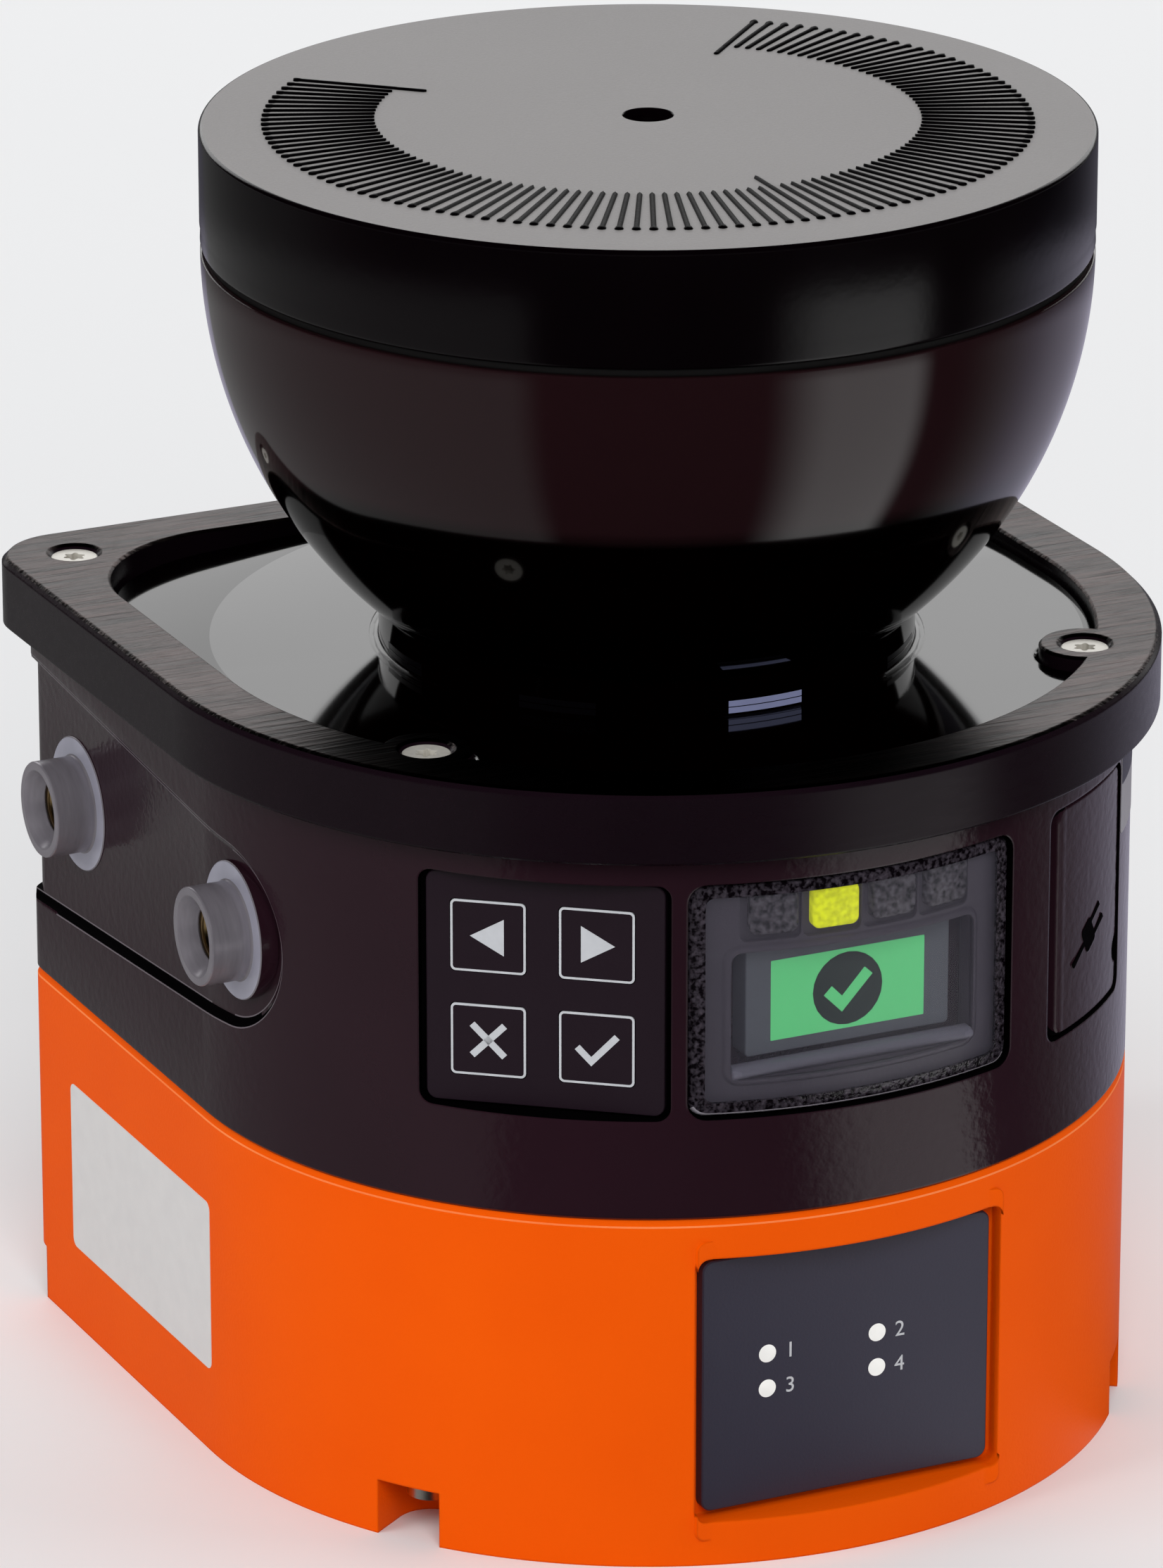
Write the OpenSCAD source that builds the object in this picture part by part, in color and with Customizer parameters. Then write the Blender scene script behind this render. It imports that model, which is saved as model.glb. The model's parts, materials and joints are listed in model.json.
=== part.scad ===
// Safety laser scanner: a D-shaped base and housing, a clamp plate, and a round scan head on a neck.
// Frame: Z is the axis of the scan head, the front faces -Y, and the base stands on Z = 0.

/* [Body] */
// Front radius of both housings, which is also half their width
body_radius = 53; // [52.5:0.25:53.5]
// Distance of the flat back face from the head axis
body_back = 52; // [51:0.5:53]
// Radius of the upright back corners
body_corner = 5; // [4.5:0.5:7]
// Wall of both housings
wall = 3; // [2.75:0.25:3.25]
// Height of the orange base
base_height = 40; // [40:0.5:42]
// Height of the black housing on it
housing_height = 41; // [41:0.25:42]
// Clear space of each screw hole round its screw
hole_clearance = 0.2; // [0.1:0.05:0.25]

/* [Base] */
// Radius of the columns that the long screws pass through
column_radius = 5.5; // [5.2:0.1:5.8]
// Width of the screw pockets under the base
pocket_width = 7.6; // [7:0.2:8]
// Height of the screw pockets
pocket_height = 6.3; // [5.5:0.1:7]
// Thickness of the bottom plate
bottom_thickness = 2; // [1.5:0.25:2.5]
// Gap round the bottom plate
bottom_gap = 0.2; // [0.1:0.05:0.4]
// Sideways place of the two posts that hold the bottom plate
bottom_post_x = 40; // [39:0.5:41]
// Place of those posts along the body
bottom_post_y = 12; // [8:1:16]
// Length of the bottom plate's screws
bottom_screw_length = 10; // [8:1:14]
// Width of the opening through which the boards join
link_opening_width = 42; // [41:0.5:44]
// Depth of that opening
link_opening_depth = 10; // [9:0.5:11]
// Width of the seal's cord round the opening
base_seal_width = 3; // [2:0.5:4]
// Height of the seal
base_seal_height = 1.5; // [1:0.25:2]
// Room between the opening and the seal
base_seal_offset = 4; // [3:0.5:5]
// Corner radius of the seal's inner edge
base_seal_corner = 3; // [2:0.5:4]

/* [Screws] */
// Distance of the two front screws from the housing's front face
front_screw_margin = 5; // [4.7:0.1:5.5]
// Angle of the front screws from straight ahead
screw_angle = 54.5; // [54:0.25:55]
// Distance of the two back screws from the housing's sides
back_screw_side_margin = 5.2; // [5:0.1:5.8]
// Distance of the back screws from the housing's back
back_screw_margin = 4.7; // [4.5:0.1:5.2]
// Radius of the screws' shanks
screw_radius = 1.5; // [1.3:0.1:1.6]
// Radius of the pan heads
pan_head_radius = 2.6; // [2.4:0.1:2.8]
// Height of the pan heads
pan_head_height = 2.4; // [2:0.2:2.8]
// Length of thread of the base screws in the housing
base_screw_grip = 10; // [8:0.5:11]
// Length of thread of the clamp screws in the housing
clamp_screw_grip = 5; // [4:0.5:5]
// Radius of the countersinks at the plate's top
countersink_radius = 3.15; // [3:0.05:3.3]
// Radius of the countersunk heads
flat_head_radius = 2.65; // [2.5:0.05:2.8]
// Radius of the six-lobed recess in the heads
recess_radius = 0.95; // [0.8:0.05:1]
// Depth of that recess
recess_depth = 0.8; // [0.6:0.1:0.9]

/* [Clamp plate] */
// How far the plate stands out over the housing on all sides
plate_overhang = 3; // [2.5:0.25:4]
// Radius of its back corners
plate_corner = 8; // [7:0.5:9]
// Thickness of the plate
plate_thickness = 8; // [7:0.5:9]
// Distance of the plate's opening from the housing's front and side faces
opening_margin = 4.2; // [4:0.1:4.5]
// Distance of the opening's back edge from the housing's back
opening_back_margin = 4; // [3.75:0.25:4.5]
// Radius of the opening's back corners
opening_corner = 17; // [16:0.5:18]
// Radius of the lugs round the front screws
lug_radius = 5; // [4.75:0.25:5.25]

/* [Optics cover] */
// How far the cover's deck lies below the top of the plate
deck_drop = 1.5; // [1.2:0.1:2]
// Wall of the cover
cover_wall = 2.5; // [2.25:0.25:2.75]
// Gap between the deck and the plate
deck_gap = 0.25; // [0.15:0.05:0.35]
// Thickness of the rim clamped under the plate
rim_thickness = 2.5; // [2:0.25:2.75]
// Width of the rim's seat at the housing's wall
rim_shoulder = 1.7; // [1.5:0.1:1.9]
// Gap round the rim
rim_gap = 0.3; // [0.2:0.05:0.4]
// Height of the ledge in the housing under the rim
ledge_height = 4; // [3:0.25:4.5]
// Width of the seal under the rim
optics_seal_width = 1.2; // [1:0.1:1.4]
// Height of the seal under the rim
optics_seal_height = 1.2; // [1:0.1:1.4]
// Outer radius of the neck
neck_radius = 29.2; // [28.7:0.1:29.7]
// Height of the neck's upright wall
neck_height = 4.3; // [4:0.1:5]
// Outer radius at the top of the bowl
bowl_top_radius = 48; // [47.8:0.1:48.2]
// Height of the bowl from the neck to the seam under the cap
bowl_height = 40; // [39.5:0.5:41]
// Height of the seam between cover and cap
seam = 0.8; // [0.6:0.1:1]
// Number of status lights round the neck, with none at the back
neck_light_count = 7; // [3:2:7]
// Angle between two neck lights
neck_light_step = 45; // [40:5:45]
// Width of a neck light as an angle
neck_light_angle = 17; // [15:1:19]
// Height of a neck light
neck_light_height = 1.55; // [1.2:0.05:1.8]
// Height of its lower edge over the deck
neck_light_lift = 0.25; // [0.2:0.05:0.5]

/* [Head cap] */
// How far the cap's lower edge lies inside the bowl's upper edge
cap_foot_step = 0.1; // [0.05:0.05:0.2]
// Width of the sloping shoulder at the cap's foot
shoulder_width = 0.5; // [0.4:0.1:0.9]
// Height of the cap from its lower edge to the rim of its top face
cap_height = 12.8; // [12.6:0.2:13.4]
// Height of the sloping shoulder at its foot
shoulder_height = 2.2; // [1.6:0.2:2.6]
// Radius of the rounded top edge
cap_edge_radius = 1.2; // [1:0.1:1.4]
// Rise of the domed top face
dome_rise = 0.8; // [0.6:0.1:1]
// Wall of the cap
cap_wall = 2.5; // [2.25:0.25:2.75]
// Width of the seat that grips the motor bracket
seat_width = 1; // [0.8:0.1:1.1]
// Radius of the dimple in the middle of the top face
dimple_radius = 2.6; // [2:0.1:3]
// Depth of the dimple
dimple_depth = 0.6; // [0.4:0.1:0.8]
// Angle from the front to the last mark of the angle scale
scale_half_angle = 137.5; // [130:2.5:140]
// Angle between two marks
mark_step = 2.5; // [2.5:2.5:5]
// Distance of the marks' outer ends from the cap's side
mark_margin = 6.5; // [5.9:0.1:7.4]
// Length of a mark
mark_length = 12.7; // [12:0.1:13.4]
// Length of the long marks at the middle and both ends
long_mark_length = 16.2; // [15.4:0.1:16.9]
// Width of a mark
mark_width = 0.5; // [0.4:0.05:0.6]
// Height of a mark over the top face
mark_height = 0.25; // [0.2:0.05:0.3]

/* [Scan drive] */
// Thickness of the bracket that carries the motor
bracket_thickness = 2; // [1.75:0.25:2.25]
// Outer radius of the motor
motor_radius = 15; // [14.5:0.5:16]
// Height of the motor
motor_height = 8.2; // [8:0.1:8.5]
// Wall of the motor's can
motor_wall = 1.2; // [1:0.1:1.4]
// Inner radius of the motor's windings
winding_inner_radius = 9; // [8.8:0.1:9.5]
// Air gap between windings and magnet
air_gap = 0.4; // [0.3:0.05:0.5]
// Room over and under the magnet
magnet_room = 0.5; // [0.4:0.1:0.7]
// Radius of the motor shaft
shaft_radius = 2; // [1.8:0.1:2.2]
// Running clearance of the shaft in its bearings
shaft_clearance = 0.03; // [0.02:0.01:0.05]
// Outer radius of the bearings
bearing_radius = 5; // [4.6:0.1:5.4]
// Radius of the mirror carrier
carrier_radius = 17; // [16:0.5:18]
// Height of the scan plane over the deck
scan_plane_height = 23.5; // [23:0.5:25]
// Height of the carrier over the scan plane
carrier_top_height = 15; // [14:0.5:16]
// Thickness of the scan mirror
mirror_thickness = 1.5; // [1:0.25:2]
// Length of shaft in the carrier
shaft_grip = 8; // [6:0.5:9]
// Outer radius of the encoder disc
encoder_radius = 24; // [23.5:0.25:24.5]
// Thickness of the encoder disc
encoder_thickness = 1; // [0.8:0.1:1.2]
// Number of slots in the encoder disc
encoder_slots = 12; // [8:4:16]
// Depth of the encoder's reader, half of which lies over the disc
reader_depth = 10; // [9:0.5:11]
// Width of the reader
reader_width = 8; // [7:0.5:9]
// Thickness of the reader's jaw under the disc
reader_jaw = 2; // [1.6:0.1:2.4]
// Room round the encoder disc in its reader
encoder_room = 0.6; // [0.5:0.1:0.7]

/* [Receiver] */
// Thickness of the chassis plate under the optics
chassis_thickness = 3; // [2.5:0.25:3.5]
// Radius of the chassis plate
chassis_radius = 36; // [35.5:0.25:37]
// Height of the chassis plate's top over the housing's floor
chassis_level = 34; // [33:0.25:34]
// Outer radius of the lens barrel
barrel_radius = 24; // [23.5:0.25:24.5]
// Height of the barrel
barrel_height = 13.5; // [13:0.25:13.5]
// Wall of the barrel under the lens
barrel_wall = 4; // [3.5:0.25:4.25]
// Depth of the lens seat below the barrel's top
lens_seat_depth = 5.5; // [5:0.25:6]
// Width of the lens seat
lens_seat_width = 1; // [0.8:0.1:1.2]
// Thickness of the lens at its edge
lens_edge = 2; // [1.5:0.25:2.5]
// Rise of the lens's curved face
lens_rise = 3; // [2.5:0.25:3]
// Radius of the barrel's flange
barrel_flange_radius = 26; // [25.5:0.25:26.5]
// Thickness of the flange
barrel_flange_thickness = 2; // [1.5:0.25:2.5]
// Radius of the laser module
laser_radius = 3.5; // [3:0.25:4]
// Length of the laser module
laser_length = 8; // [7:0.5:9]
// Half width of the light sensor
sensor_half_width = 2; // [1.5:0.25:2.5]
// Height of the light sensor
sensor_height = 1; // [0.8:0.1:1.2]
// Thickness of the status lights' ring board
ring_board_thickness = 1.2; // [1:0.1:1.3]

/* [Boards] */
// Thickness of the circuit boards
board_thickness = 1.6; // [1.2:0.1:2]
// Half width of the two main boards
board_half_width = 30; // [29.5:0.5:31]
// Half depth of the two main boards
board_half_depth = 22; // [21.5:0.5:23]
// Sideways place of the board posts
post_x = 26; // [25:0.5:26.5]
// Place of the board posts along the body
post_y = 18; // [17:0.5:18.5]
// Radius of the posts
post_radius = 3.5; // [3:0.25:3.75]
// Height of the posts in the housing
post_height = 13; // [12:0.5:14]
// Length of the posts in the base
base_post_length = 9; // [8:0.5:10]
// Radius of the spacers between board and chassis
spacer_radius = 3; // [2.75:0.25:3.25]
// Grip of the board screws in their posts
board_screw_grip = 7; // [6:0.5:7.5]
// Width of the plug that joins the two boards
link_width = 40; // [38:0.5:40]
// Depth of that plug
link_depth = 8; // [7:0.5:8]
// Height of the plug's tongue in its socket
tongue_height = 4; // [3:0.5:5]
// Thickness of the tongue
tongue_thickness = 3; // [2:0.5:3.5]

/* [Front fields] */
// Height of the lower edge of the three front recesses over the base
field_lift = 11.3; // [11.1:0.1:11.5]
// Height of those recesses
field_height = 26.4; // [26.2:0.1:26.5]
// Gap round the panels in the recesses
field_gap = 0.3; // [0.2:0.05:0.4]
// Wall behind the recesses
field_wall = 2; // [1.75:0.25:2]

/* [Display] */
// Half width of the display recess
display_half_width = 19.1; // [18.6:0.1:19.1]
// Corner radius of the display recess
display_corner = 2; // [1.5:0.1:2.5]
// How far the clear cover lies behind the housing's face
display_setback = 0.5; // [0.3:0.1:0.7]
// Thickness of the clear cover
display_cover_thickness = 2.1; // [1.9:0.1:2.2]
// Thickness of the dark bezel behind it
bezel_thickness = 1.5; // [1.2:0.1:1.6]
// Half width of the bezel's window
window_half_width = 14.3; // [13.8:0.1:14.6]
// Height of the window's lower edge over the recess's lower edge
window_lift = 3.85; // [3.5:0.05:4.2]
// Height of the window
window_height = 14.35; // [14:0.05:14.6]
// Corner radius of the window
window_corner = 1; // [0.6:0.1:1.4]
// Half width of the screen module
screen_half_width = 12; // [11.5:0.1:12.5]
// Height of the screen module
screen_height = 12.5; // [12:0.1:13]
// Thickness of the screen module
screen_thickness = 3.2; // [3:0.1:3.3]
// How far the screen's face lies behind the housing's face
screen_setback = 4.3; // [4.2:0.05:4.5]
// Width of a status lens
lens_width = 5.4; // [5:0.1:5.7]
// Height of a status lens
lens_height = 4.8; // [4.4:0.1:5]
// Angle between two status lenses
lens_pitch = 7.4; // [7.2:0.1:7.6]
// Height of the lenses' middle over the recess's lower edge
lens_lift = 22.4; // [22.2:0.1:22.6]
// Corner radius of a lens
lens_corner = 0.9; // [0.6:0.1:1.2]
// Gap round a lens
lens_gap = 0.1; // [0.05:0.05:0.15]

/* [Keypad] */
// Width of the housing's wall between the display and the keypad
keypad_land = 1.725; // [1.6:0.025:2]
// Width of the keypad recess
keypad_width = 27.1; // [26.8:0.1:27.2]
// Corner radius of the keypad recess
keypad_corner = 1.5; // [1:0.1:2]
// Width of the flat keypad panel
panel_width = 25.6; // [25.2:0.1:26]
// How far the panel's flat face lies behind the housing's round face
panel_setback = 2.1; // [2:0.05:2.2]
// Thickness of the panel
panel_thickness = 1.2; // [1:0.1:1.3]
// Width of a key
key_width = 8.1; // [7.8:0.1:8.3]
// Height of a key
key_height = 8; // [7.8:0.1:8.3]
// Corner radius of a key
key_corner = 0.6; // [0.4:0.1:0.8]
// Distance between the keys' middles
key_pitch = 11.65; // [11.4:0.05:11.8]
// Sideways shift of the four keys on their panel
key_shift = -0.3; // [-0.5:0.1:0.5]
// Gap round a key in the panel
key_gap = 0.1; // [0.08:0.01:0.15]
// Width of the flange that keeps a key behind the panel
key_flange = 0.45; // [0.35:0.05:0.5]
// Thickness of that flange
key_flange_thickness = 0.6; // [0.5:0.1:0.7]
// Radius of a key's stem
key_stem_radius = 1; // [0.8:0.1:1.2]
// Travel of a key
key_travel = 0.4; // [0.3:0.05:0.4]
// Room left between a pressed key's stem and the board
key_stem_room = 0.1; // [0.1:0.05:0.15]
// Half width of the well behind the panel
keypad_well = 11.3; // [11.1:0.1:11.4]
// Depth of that well
keypad_well_depth = 2.8; // [2.7:0.1:2.9]

/* [Service cover] */
// Width of the housing's wall between the display and the service recess
service_land = 6.62; // [6.5:0.02:6.8]
// Width of the service recess
service_width = 19.3; // [19.1:0.1:19.5]
// How far the cover's round face lies behind the housing's
service_setback = 0.2; // [0.1:0.05:0.3]
// Thickness of the cover
service_thickness = 1.2; // [1:0.05:1.25]
// Radius of the cover's lower corners
service_corner = 1.5; // [1:0.1:2]
// Distance of the hinge pin from the recess's left side
hinge_inset = 3.15; // [3.05:0.05:3.3]
// Radius of the hinge pin
hinge_pin_radius = 0.75; // [0.7:0.05:0.8]
// Radius of the cover's knuckle
knuckle_radius = 1.35; // [1.3:0.05:1.4]
// Running clearance on the hinge pin
hinge_clearance = 0.05; // [0.04:0.01:0.06]
// Room round the knuckle
knuckle_room = 0.4; // [0.3:0.05:0.45]
// Depth of the pin's ends in the housing
hinge_pin_grip = 0.5; // [0.4:0.05:0.6]
// Radius of the finger notch
notch_radius = 1.6; // [1.4:0.1:2]
// Sideways place of the socket's well
socket_x = 2; // [1.5:0.25:2.25]
// Width of that well
socket_well_width = 11; // [10.5:0.25:11.5]
// Height of that well
socket_well_height = 15; // [14:0.5:16]
// Depth of that well behind the recess's floor
socket_well_depth = 5.3; // [5:0.1:5.5]
// Width of the service socket
socket_width = 8; // [7.5:0.1:8.5]
// Height of the service socket
socket_height = 3.5; // [3:0.1:4]
// Length of the service socket
socket_length = 3.5; // [3:0.1:4]
// Wall of the service socket
socket_wall = 0.5; // [0.4:0.05:0.6]

/* [Indicator panel] */
// Half width of the indicator recess
indicator_half_width = 18.2; // [18:0.1:18.5]
// Height of the recess's lower edge
indicator_bottom = 5; // [4.5:0.1:5.5]
// Height of the recess
indicator_height = 30.5; // [30:0.1:30.8]
// Half width of the dark panel
indicator_panel_half_width = 17.1; // [16.8:0.1:17.5]
// Height of the dark panel
indicator_panel_height = 28.9; // [28.5:0.1:29.4]
// Corner radius of the dark panel
indicator_corner = 1.2; // [1:0.1:1.6]
// How far its flat face lies behind the base's round face
indicator_setback = 3.7; // [3.6:0.05:3.9]
// Thickness of the dark panel
indicator_thickness = 1.5; // [1.3:0.1:1.6]
// Radius of an indicator light
indicator_light_radius = 1.1; // [0.9:0.05:1.3]
// Distance between the two columns of lights
indicator_light_pitch = 13.1; // [12.8:0.1:13.4]
// Distance between the two rows of lights
indicator_light_row = 4.05; // [3.8:0.05:4.2]
// Height of the upper row over the panel's lower edge
indicator_light_lift = 17.1; // [16.8:0.1:17.4]
// Sideways place of the lights' middle
indicator_light_shift = -2.85; // [-3:0.05:-2.7]

/* [Side bushes] */
// Place of the left side's front bush along the body
bush_front_y = -6.8; // [-7.2:0.1:-6.4]
// Place of the right side's front bush, set back behind the service cover
bush_right_y = 5; // [4.5:0.1:6]
// Place of each side's back bush along the body
bush_back_y = 36.5; // [36:0.1:36.8]
// Height of the bushes over the housing's floor line
bush_lift = 23.5; // [23.2:0.1:23.8]
// Radius of a bush's disc
bush_disc_radius = 7.75; // [7.5:0.05:8]
// Thickness of the disc
bush_disc_thickness = 2; // [1.8:0.1:2.2]
// Radius of a bush's collar
bush_radius = 5.4; // [5.2:0.1:5.6]
// How far the collar stands out from the housing's side
bush_stand = 4; // [3.5:0.1:4.5]
// Length of the collar from its end to its hidden foot
bush_length = 14; // [13:0.25:14.5]
// Wall of the hidden boss round a bush's disc
bush_boss_wall = 1; // [0.8:0.1:1.2]
// Radius of the threaded insert
insert_radius = 3.2; // [3.1:0.05:3.4]
// Radius of the M5 thread's core
thread_radius = 2.1; // [2.05:0.05:2.15]
// Length of the threaded insert
insert_length = 10; // [9:0.25:10.5]
// Radius of the collar's conical mouth
mouth_radius = 4.4; // [4.2:0.1:4.6]
// Depth of the side pads
pad_depth = 0.75; // [0.6:0.05:0.9]
// Radius of the pad round the front bush
pad_radius = 10; // [9.5:0.1:10.5]
// Slope of the pad's upper and lower edges
pad_slope = 4.5; // [4:0.1:4.6]

/* [Connectors] */
// Sideways place of the two connectors
connector_x = 16; // [15:0.5:17]
// Height of the connectors
connector_z = 20; // [19.5:0.25:20.5]
// Radius of their threaded collars
connector_radius = 6; // [5.8:0.1:6.2]
// Radius of their bores
connector_bore = 4.6; // [4.4:0.1:4.8]
// Half width over the corners of their hexagons
connector_hex = 9; // [8.5:0.1:9.2]
// Thickness of the hexagons
connector_hex_thickness = 2.5; // [2:0.25:3]
// How far the connectors stand out from the base's back
connector_stand = 2.4; // [2:0.1:2.5]
// Length of the connectors inside the base
connector_tail = 6; // [5:0.5:7]
// Half width of the connector bay
bay_half_width = 32; // [31:0.5:33]
// Height of the bay's lower edge
bay_bottom = 7; // [6.5:0.25:7.5]
// Height of the bay
bay_height = 26; // [25.5:0.25:26.5]
// Depth of the bay
bay_depth = 8; // [7.5:0.25:8.25]
// Thickness of the contact carriers
carrier_thickness = 3; // [2.5:0.25:3.5]
// Radius of a contact pin
contact_radius = 0.5; // [0.4:0.05:0.6]
// Length of a contact pin in front of its carrier
contact_length = 3.5; // [3:0.25:4]
// Radius of the ring of contacts
contact_ring = 2.6; // [2.4:0.1:2.8]

/* [Hidden] */
$fn = 96;

// Small overlap of joined shapes and overrun of cuts
lap = 0.5;
// Number of conical bands that make up the domed top face
dome_bands = 6;
// Tilt of the scan mirror, which turns the beam through a right angle
mirror_tilt = 45;

// Levels, from the ground up
housing_top = base_height + housing_height;
plate_top = housing_top + plate_thickness;
deck_top = plate_top - deck_drop;
rim_bottom = housing_top - rim_thickness;
housing_floor = base_height + wall;
neck_top = deck_top + neck_height;
seam_level = neck_top + bowl_height;
cover_top = seam_level - seam / 2;
cap_bottom = seam_level + seam / 2;
cap_rim = cap_bottom + cap_height;
chassis_top = housing_floor + chassis_level;
control_board_bottom = housing_floor + post_height;
network_board_top = base_height - wall - base_post_length;
field_bottom = base_height + field_lift;
field_middle = field_bottom + field_height / 2;
bush_level = base_height + bush_lift;
scan_level = deck_top + scan_plane_height;
carrier_top = scan_level + carrier_top_height;
bracket_top = cover_top + bracket_thickness;
motor_top = bracket_top + motor_height;

// Outlines of the plate and its opening
plate_radius = body_radius + plate_overhang;
plate_back = body_back + plate_overhang;
opening_radius = body_radius - opening_margin;
opening_back = body_back - opening_back_margin;

// Places of the long screws
screw_pitch_radius = body_radius - front_screw_margin;
back_screw_x = body_radius - back_screw_side_margin;
back_screw_y = body_back - back_screw_margin;
front_screws = [for (side = [-1, 1])
    [side * screw_pitch_radius * sin(screw_angle), -screw_pitch_radius * cos(screw_angle)]];
back_screws = [for (side = [-1, 1]) [side * back_screw_x, back_screw_y]];
board_posts = [for (side = [-1, 1], end = [-1, 1]) [side * post_x, end * post_y]];
bottom_posts = [for (side = [-1, 1]) [side * bottom_post_x, bottom_post_y]];

// Radius of the bowl's arc, whose centre lies level with the seam
bowl_swell = bowl_top_radius - neck_radius;
bowl_arc = (bowl_height * bowl_height + bowl_swell * bowl_swell) / (2 * bowl_swell);

// Radii of the cap and of the ends of its marks
cap_foot_radius = bowl_top_radius - cap_foot_step;
cap_radius = cap_foot_radius + shoulder_width;
mark_outer = cap_radius - mark_margin;

// Radius of the domed top face
dome_edge = cap_radius - cap_edge_radius;
dome_radius = (dome_edge * dome_edge + dome_rise * dome_rise) / (2 * dome_rise);

// Angle that a length takes up along the housing's round face, as its chord or as its arc
function chord_angle(half_width) = asin(half_width / body_radius);
function arc_angle(length) = length / body_radius * 180 / PI;
function front_bush(side) = side > 0 ? bush_right_y : bush_front_y;

// Angles of the keypad, to the left, and of the service recess, to the right
display_edge = chord_angle(display_half_width);
keypad_angle = display_edge + arc_angle(keypad_land) + chord_angle(keypad_width / 2);
service_angle = display_edge + arc_angle(service_land) + chord_angle(service_width / 2);

// Distances of the front pieces from the head axis
panel_distance = body_radius - panel_setback;
service_face = body_radius - service_setback;
indicator_distance = body_radius - indicator_setback;
screen_distance = body_radius - screen_setback;
display_face = body_radius - display_setback;
bezel_face = display_face - display_cover_thickness;
bezel_back = bezel_face - bezel_thickness;
panel_back = panel_distance - panel_thickness;
keypad_floor = panel_back - keypad_well_depth;
service_back = service_face - service_thickness;
service_floor = service_back - knuckle_room / 4;
hinge_x = -service_width / 2 + hinge_inset;
hinge_distance = sqrt(pow(service_face - knuckle_radius, 2) - pow(hinge_x, 2));
indicator_floor = indicator_distance - indicator_thickness;
bay_floor = body_back - bay_depth;
screw_clear_radius = screw_radius + hole_clearance;

// Ends of the side bushes and of the threaded inserts, from the middle of the body
bush_reach = body_radius + bush_stand;
bush_foot = bush_reach - bush_length;
insert_face = bush_reach - mouth_radius + insert_radius;

// Distance of the connectors' ends from the head axis
connector_end = body_back + connector_stand;

// ---------- Shared outlines ----------

// Half disc towards the front, closed by straight sides and a flat back with round corners
module d_outline(radius, back, corner) {
    difference() {
        circle(radius);
        translate([-radius - 1, 0]) square([2 * radius + 2, radius + 1]);
    }
    translate([-radius, 0]) square([2 * radius, back - corner]);
    translate([corner - radius, 0]) square([2 * (radius - corner), back]);
    for (side = [-1, 1])
        translate([side * (radius - corner), back - corner]) circle(corner);
}

// Outline of the housings, drawn in by the given amount
module body_outline(inset = 0)
    d_outline(body_radius - inset, body_back - inset, body_corner - inset);

// Outline of the opening in the clamp plate, drawn in by the given amount
module opening_outline(inset = 0) {
    difference() {
        d_outline(opening_radius - inset, opening_back - inset, opening_corner - inset);
        for (place = front_screws)
            translate(place) circle(lug_radius + inset);
    }
}

// Outline of the rim that the plate clamps, drawn in by the given amount
module rim_outline(inset = 0)
    d_outline(body_radius - rim_shoulder - inset, body_back - rim_shoulder - inset,
        opening_corner - inset);

// Rectangle with round corners, about its middle
module rounded_rect(width, height, corner) {
    square([width - 2 * corner, height], center = true);
    square([width, height - 2 * corner], center = true);
    for (x = [-1, 1], y = [-1, 1])
        translate([x * (width / 2 - corner), y * (height / 2 - corner)]) circle(corner);
}

// ---------- Shared solids ----------

// Slab between two heights
module slab(bottom, top)
    translate([0, 0, bottom]) linear_extrude(top - bottom) children();

// Upright tube or rod between two heights
module rod(radius, bottom, top)
    translate([0, 0, bottom]) cylinder(r = radius, h = top - bottom);

// Turns a face at the given angle towards the front, with -Y pointing outwards
module facing(angle) rotate([0, 0, angle]) children();

// Block that faces outwards, between two distances from the head axis
module block(x, middle, width, height, corner, near, far)
    translate([x, -near, middle]) rotate([90, 0, 0]) linear_extrude(far - near)
        rounded_rect(width, height, corner);

// Block whose inner and outer faces follow circles round the head axis
module curved_block(x, middle, width, height, corner, near, far) {
    intersection() {
        block(x, middle, width, height, corner, near / 2, far + lap);
        difference() {
            rod(far, middle - height, middle + height);
            rod(near, middle - height - 1, middle + height + 1);
        }
    }
}

// Six-lobed recess in a screw head
module lobed_recess(depth) {
    linear_extrude(depth) {
        circle(recess_radius);
        for (turn = [0:60:300])
            rotate(turn) translate([recess_radius, 0]) circle(recess_radius / 3);
    }
}

// Countersunk screw hanging from its head's top at the origin
module flat_screw(length) {
    difference() {
        union() {
            translate([0, 0, screw_radius - flat_head_radius])
                cylinder(r1 = screw_radius, r2 = flat_head_radius, h = flat_head_radius - screw_radius);
            rod(screw_radius, -length, screw_radius - flat_head_radius);
        }
        translate([0, 0, -recess_depth]) lobed_recess(recess_depth + 1);
    }
}

// Pan-head screw hanging from the underside of its head at the origin
module pan_screw(length) {
    difference() {
        union() {
            rod(pan_head_radius, 0, pan_head_height);
            rod(screw_radius, -length, 0);
        }
        translate([0, 0, pan_head_height - recess_depth]) lobed_recess(recess_depth + 1);
    }
}

// Circuit board with a hole at each post
module board(bottom) {
    slab(bottom, bottom + board_thickness) {
        difference() {
            square([2 * board_half_width, 2 * board_half_depth], center = true);
            for (place = board_posts)
                translate(place) circle(screw_clear_radius);
        }
    }
}

// ---------- Base ----------

// Screw pocket, open towards the outside of the body
module screw_pocket(place, outward) {
    translate([place.x, place.y, -1]) rotate([0, 0, outward]) {
        cylinder(d = pocket_width, h = pocket_height + 1);
        translate([0, -pocket_width / 2, 0])
            cube([2 * column_radius, pocket_width, pocket_height + 1]);
    }
}

// Bay in the back of the base, where the connectors sit
module connector_bay(grow = 0, back = body_back + 1) {
    translate([-bay_half_width - grow, bay_floor - grow, bay_bottom - grow])
        cube([2 * (bay_half_width + grow), back - bay_floor + grow, bay_height + 2 * grow]);
}

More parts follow.
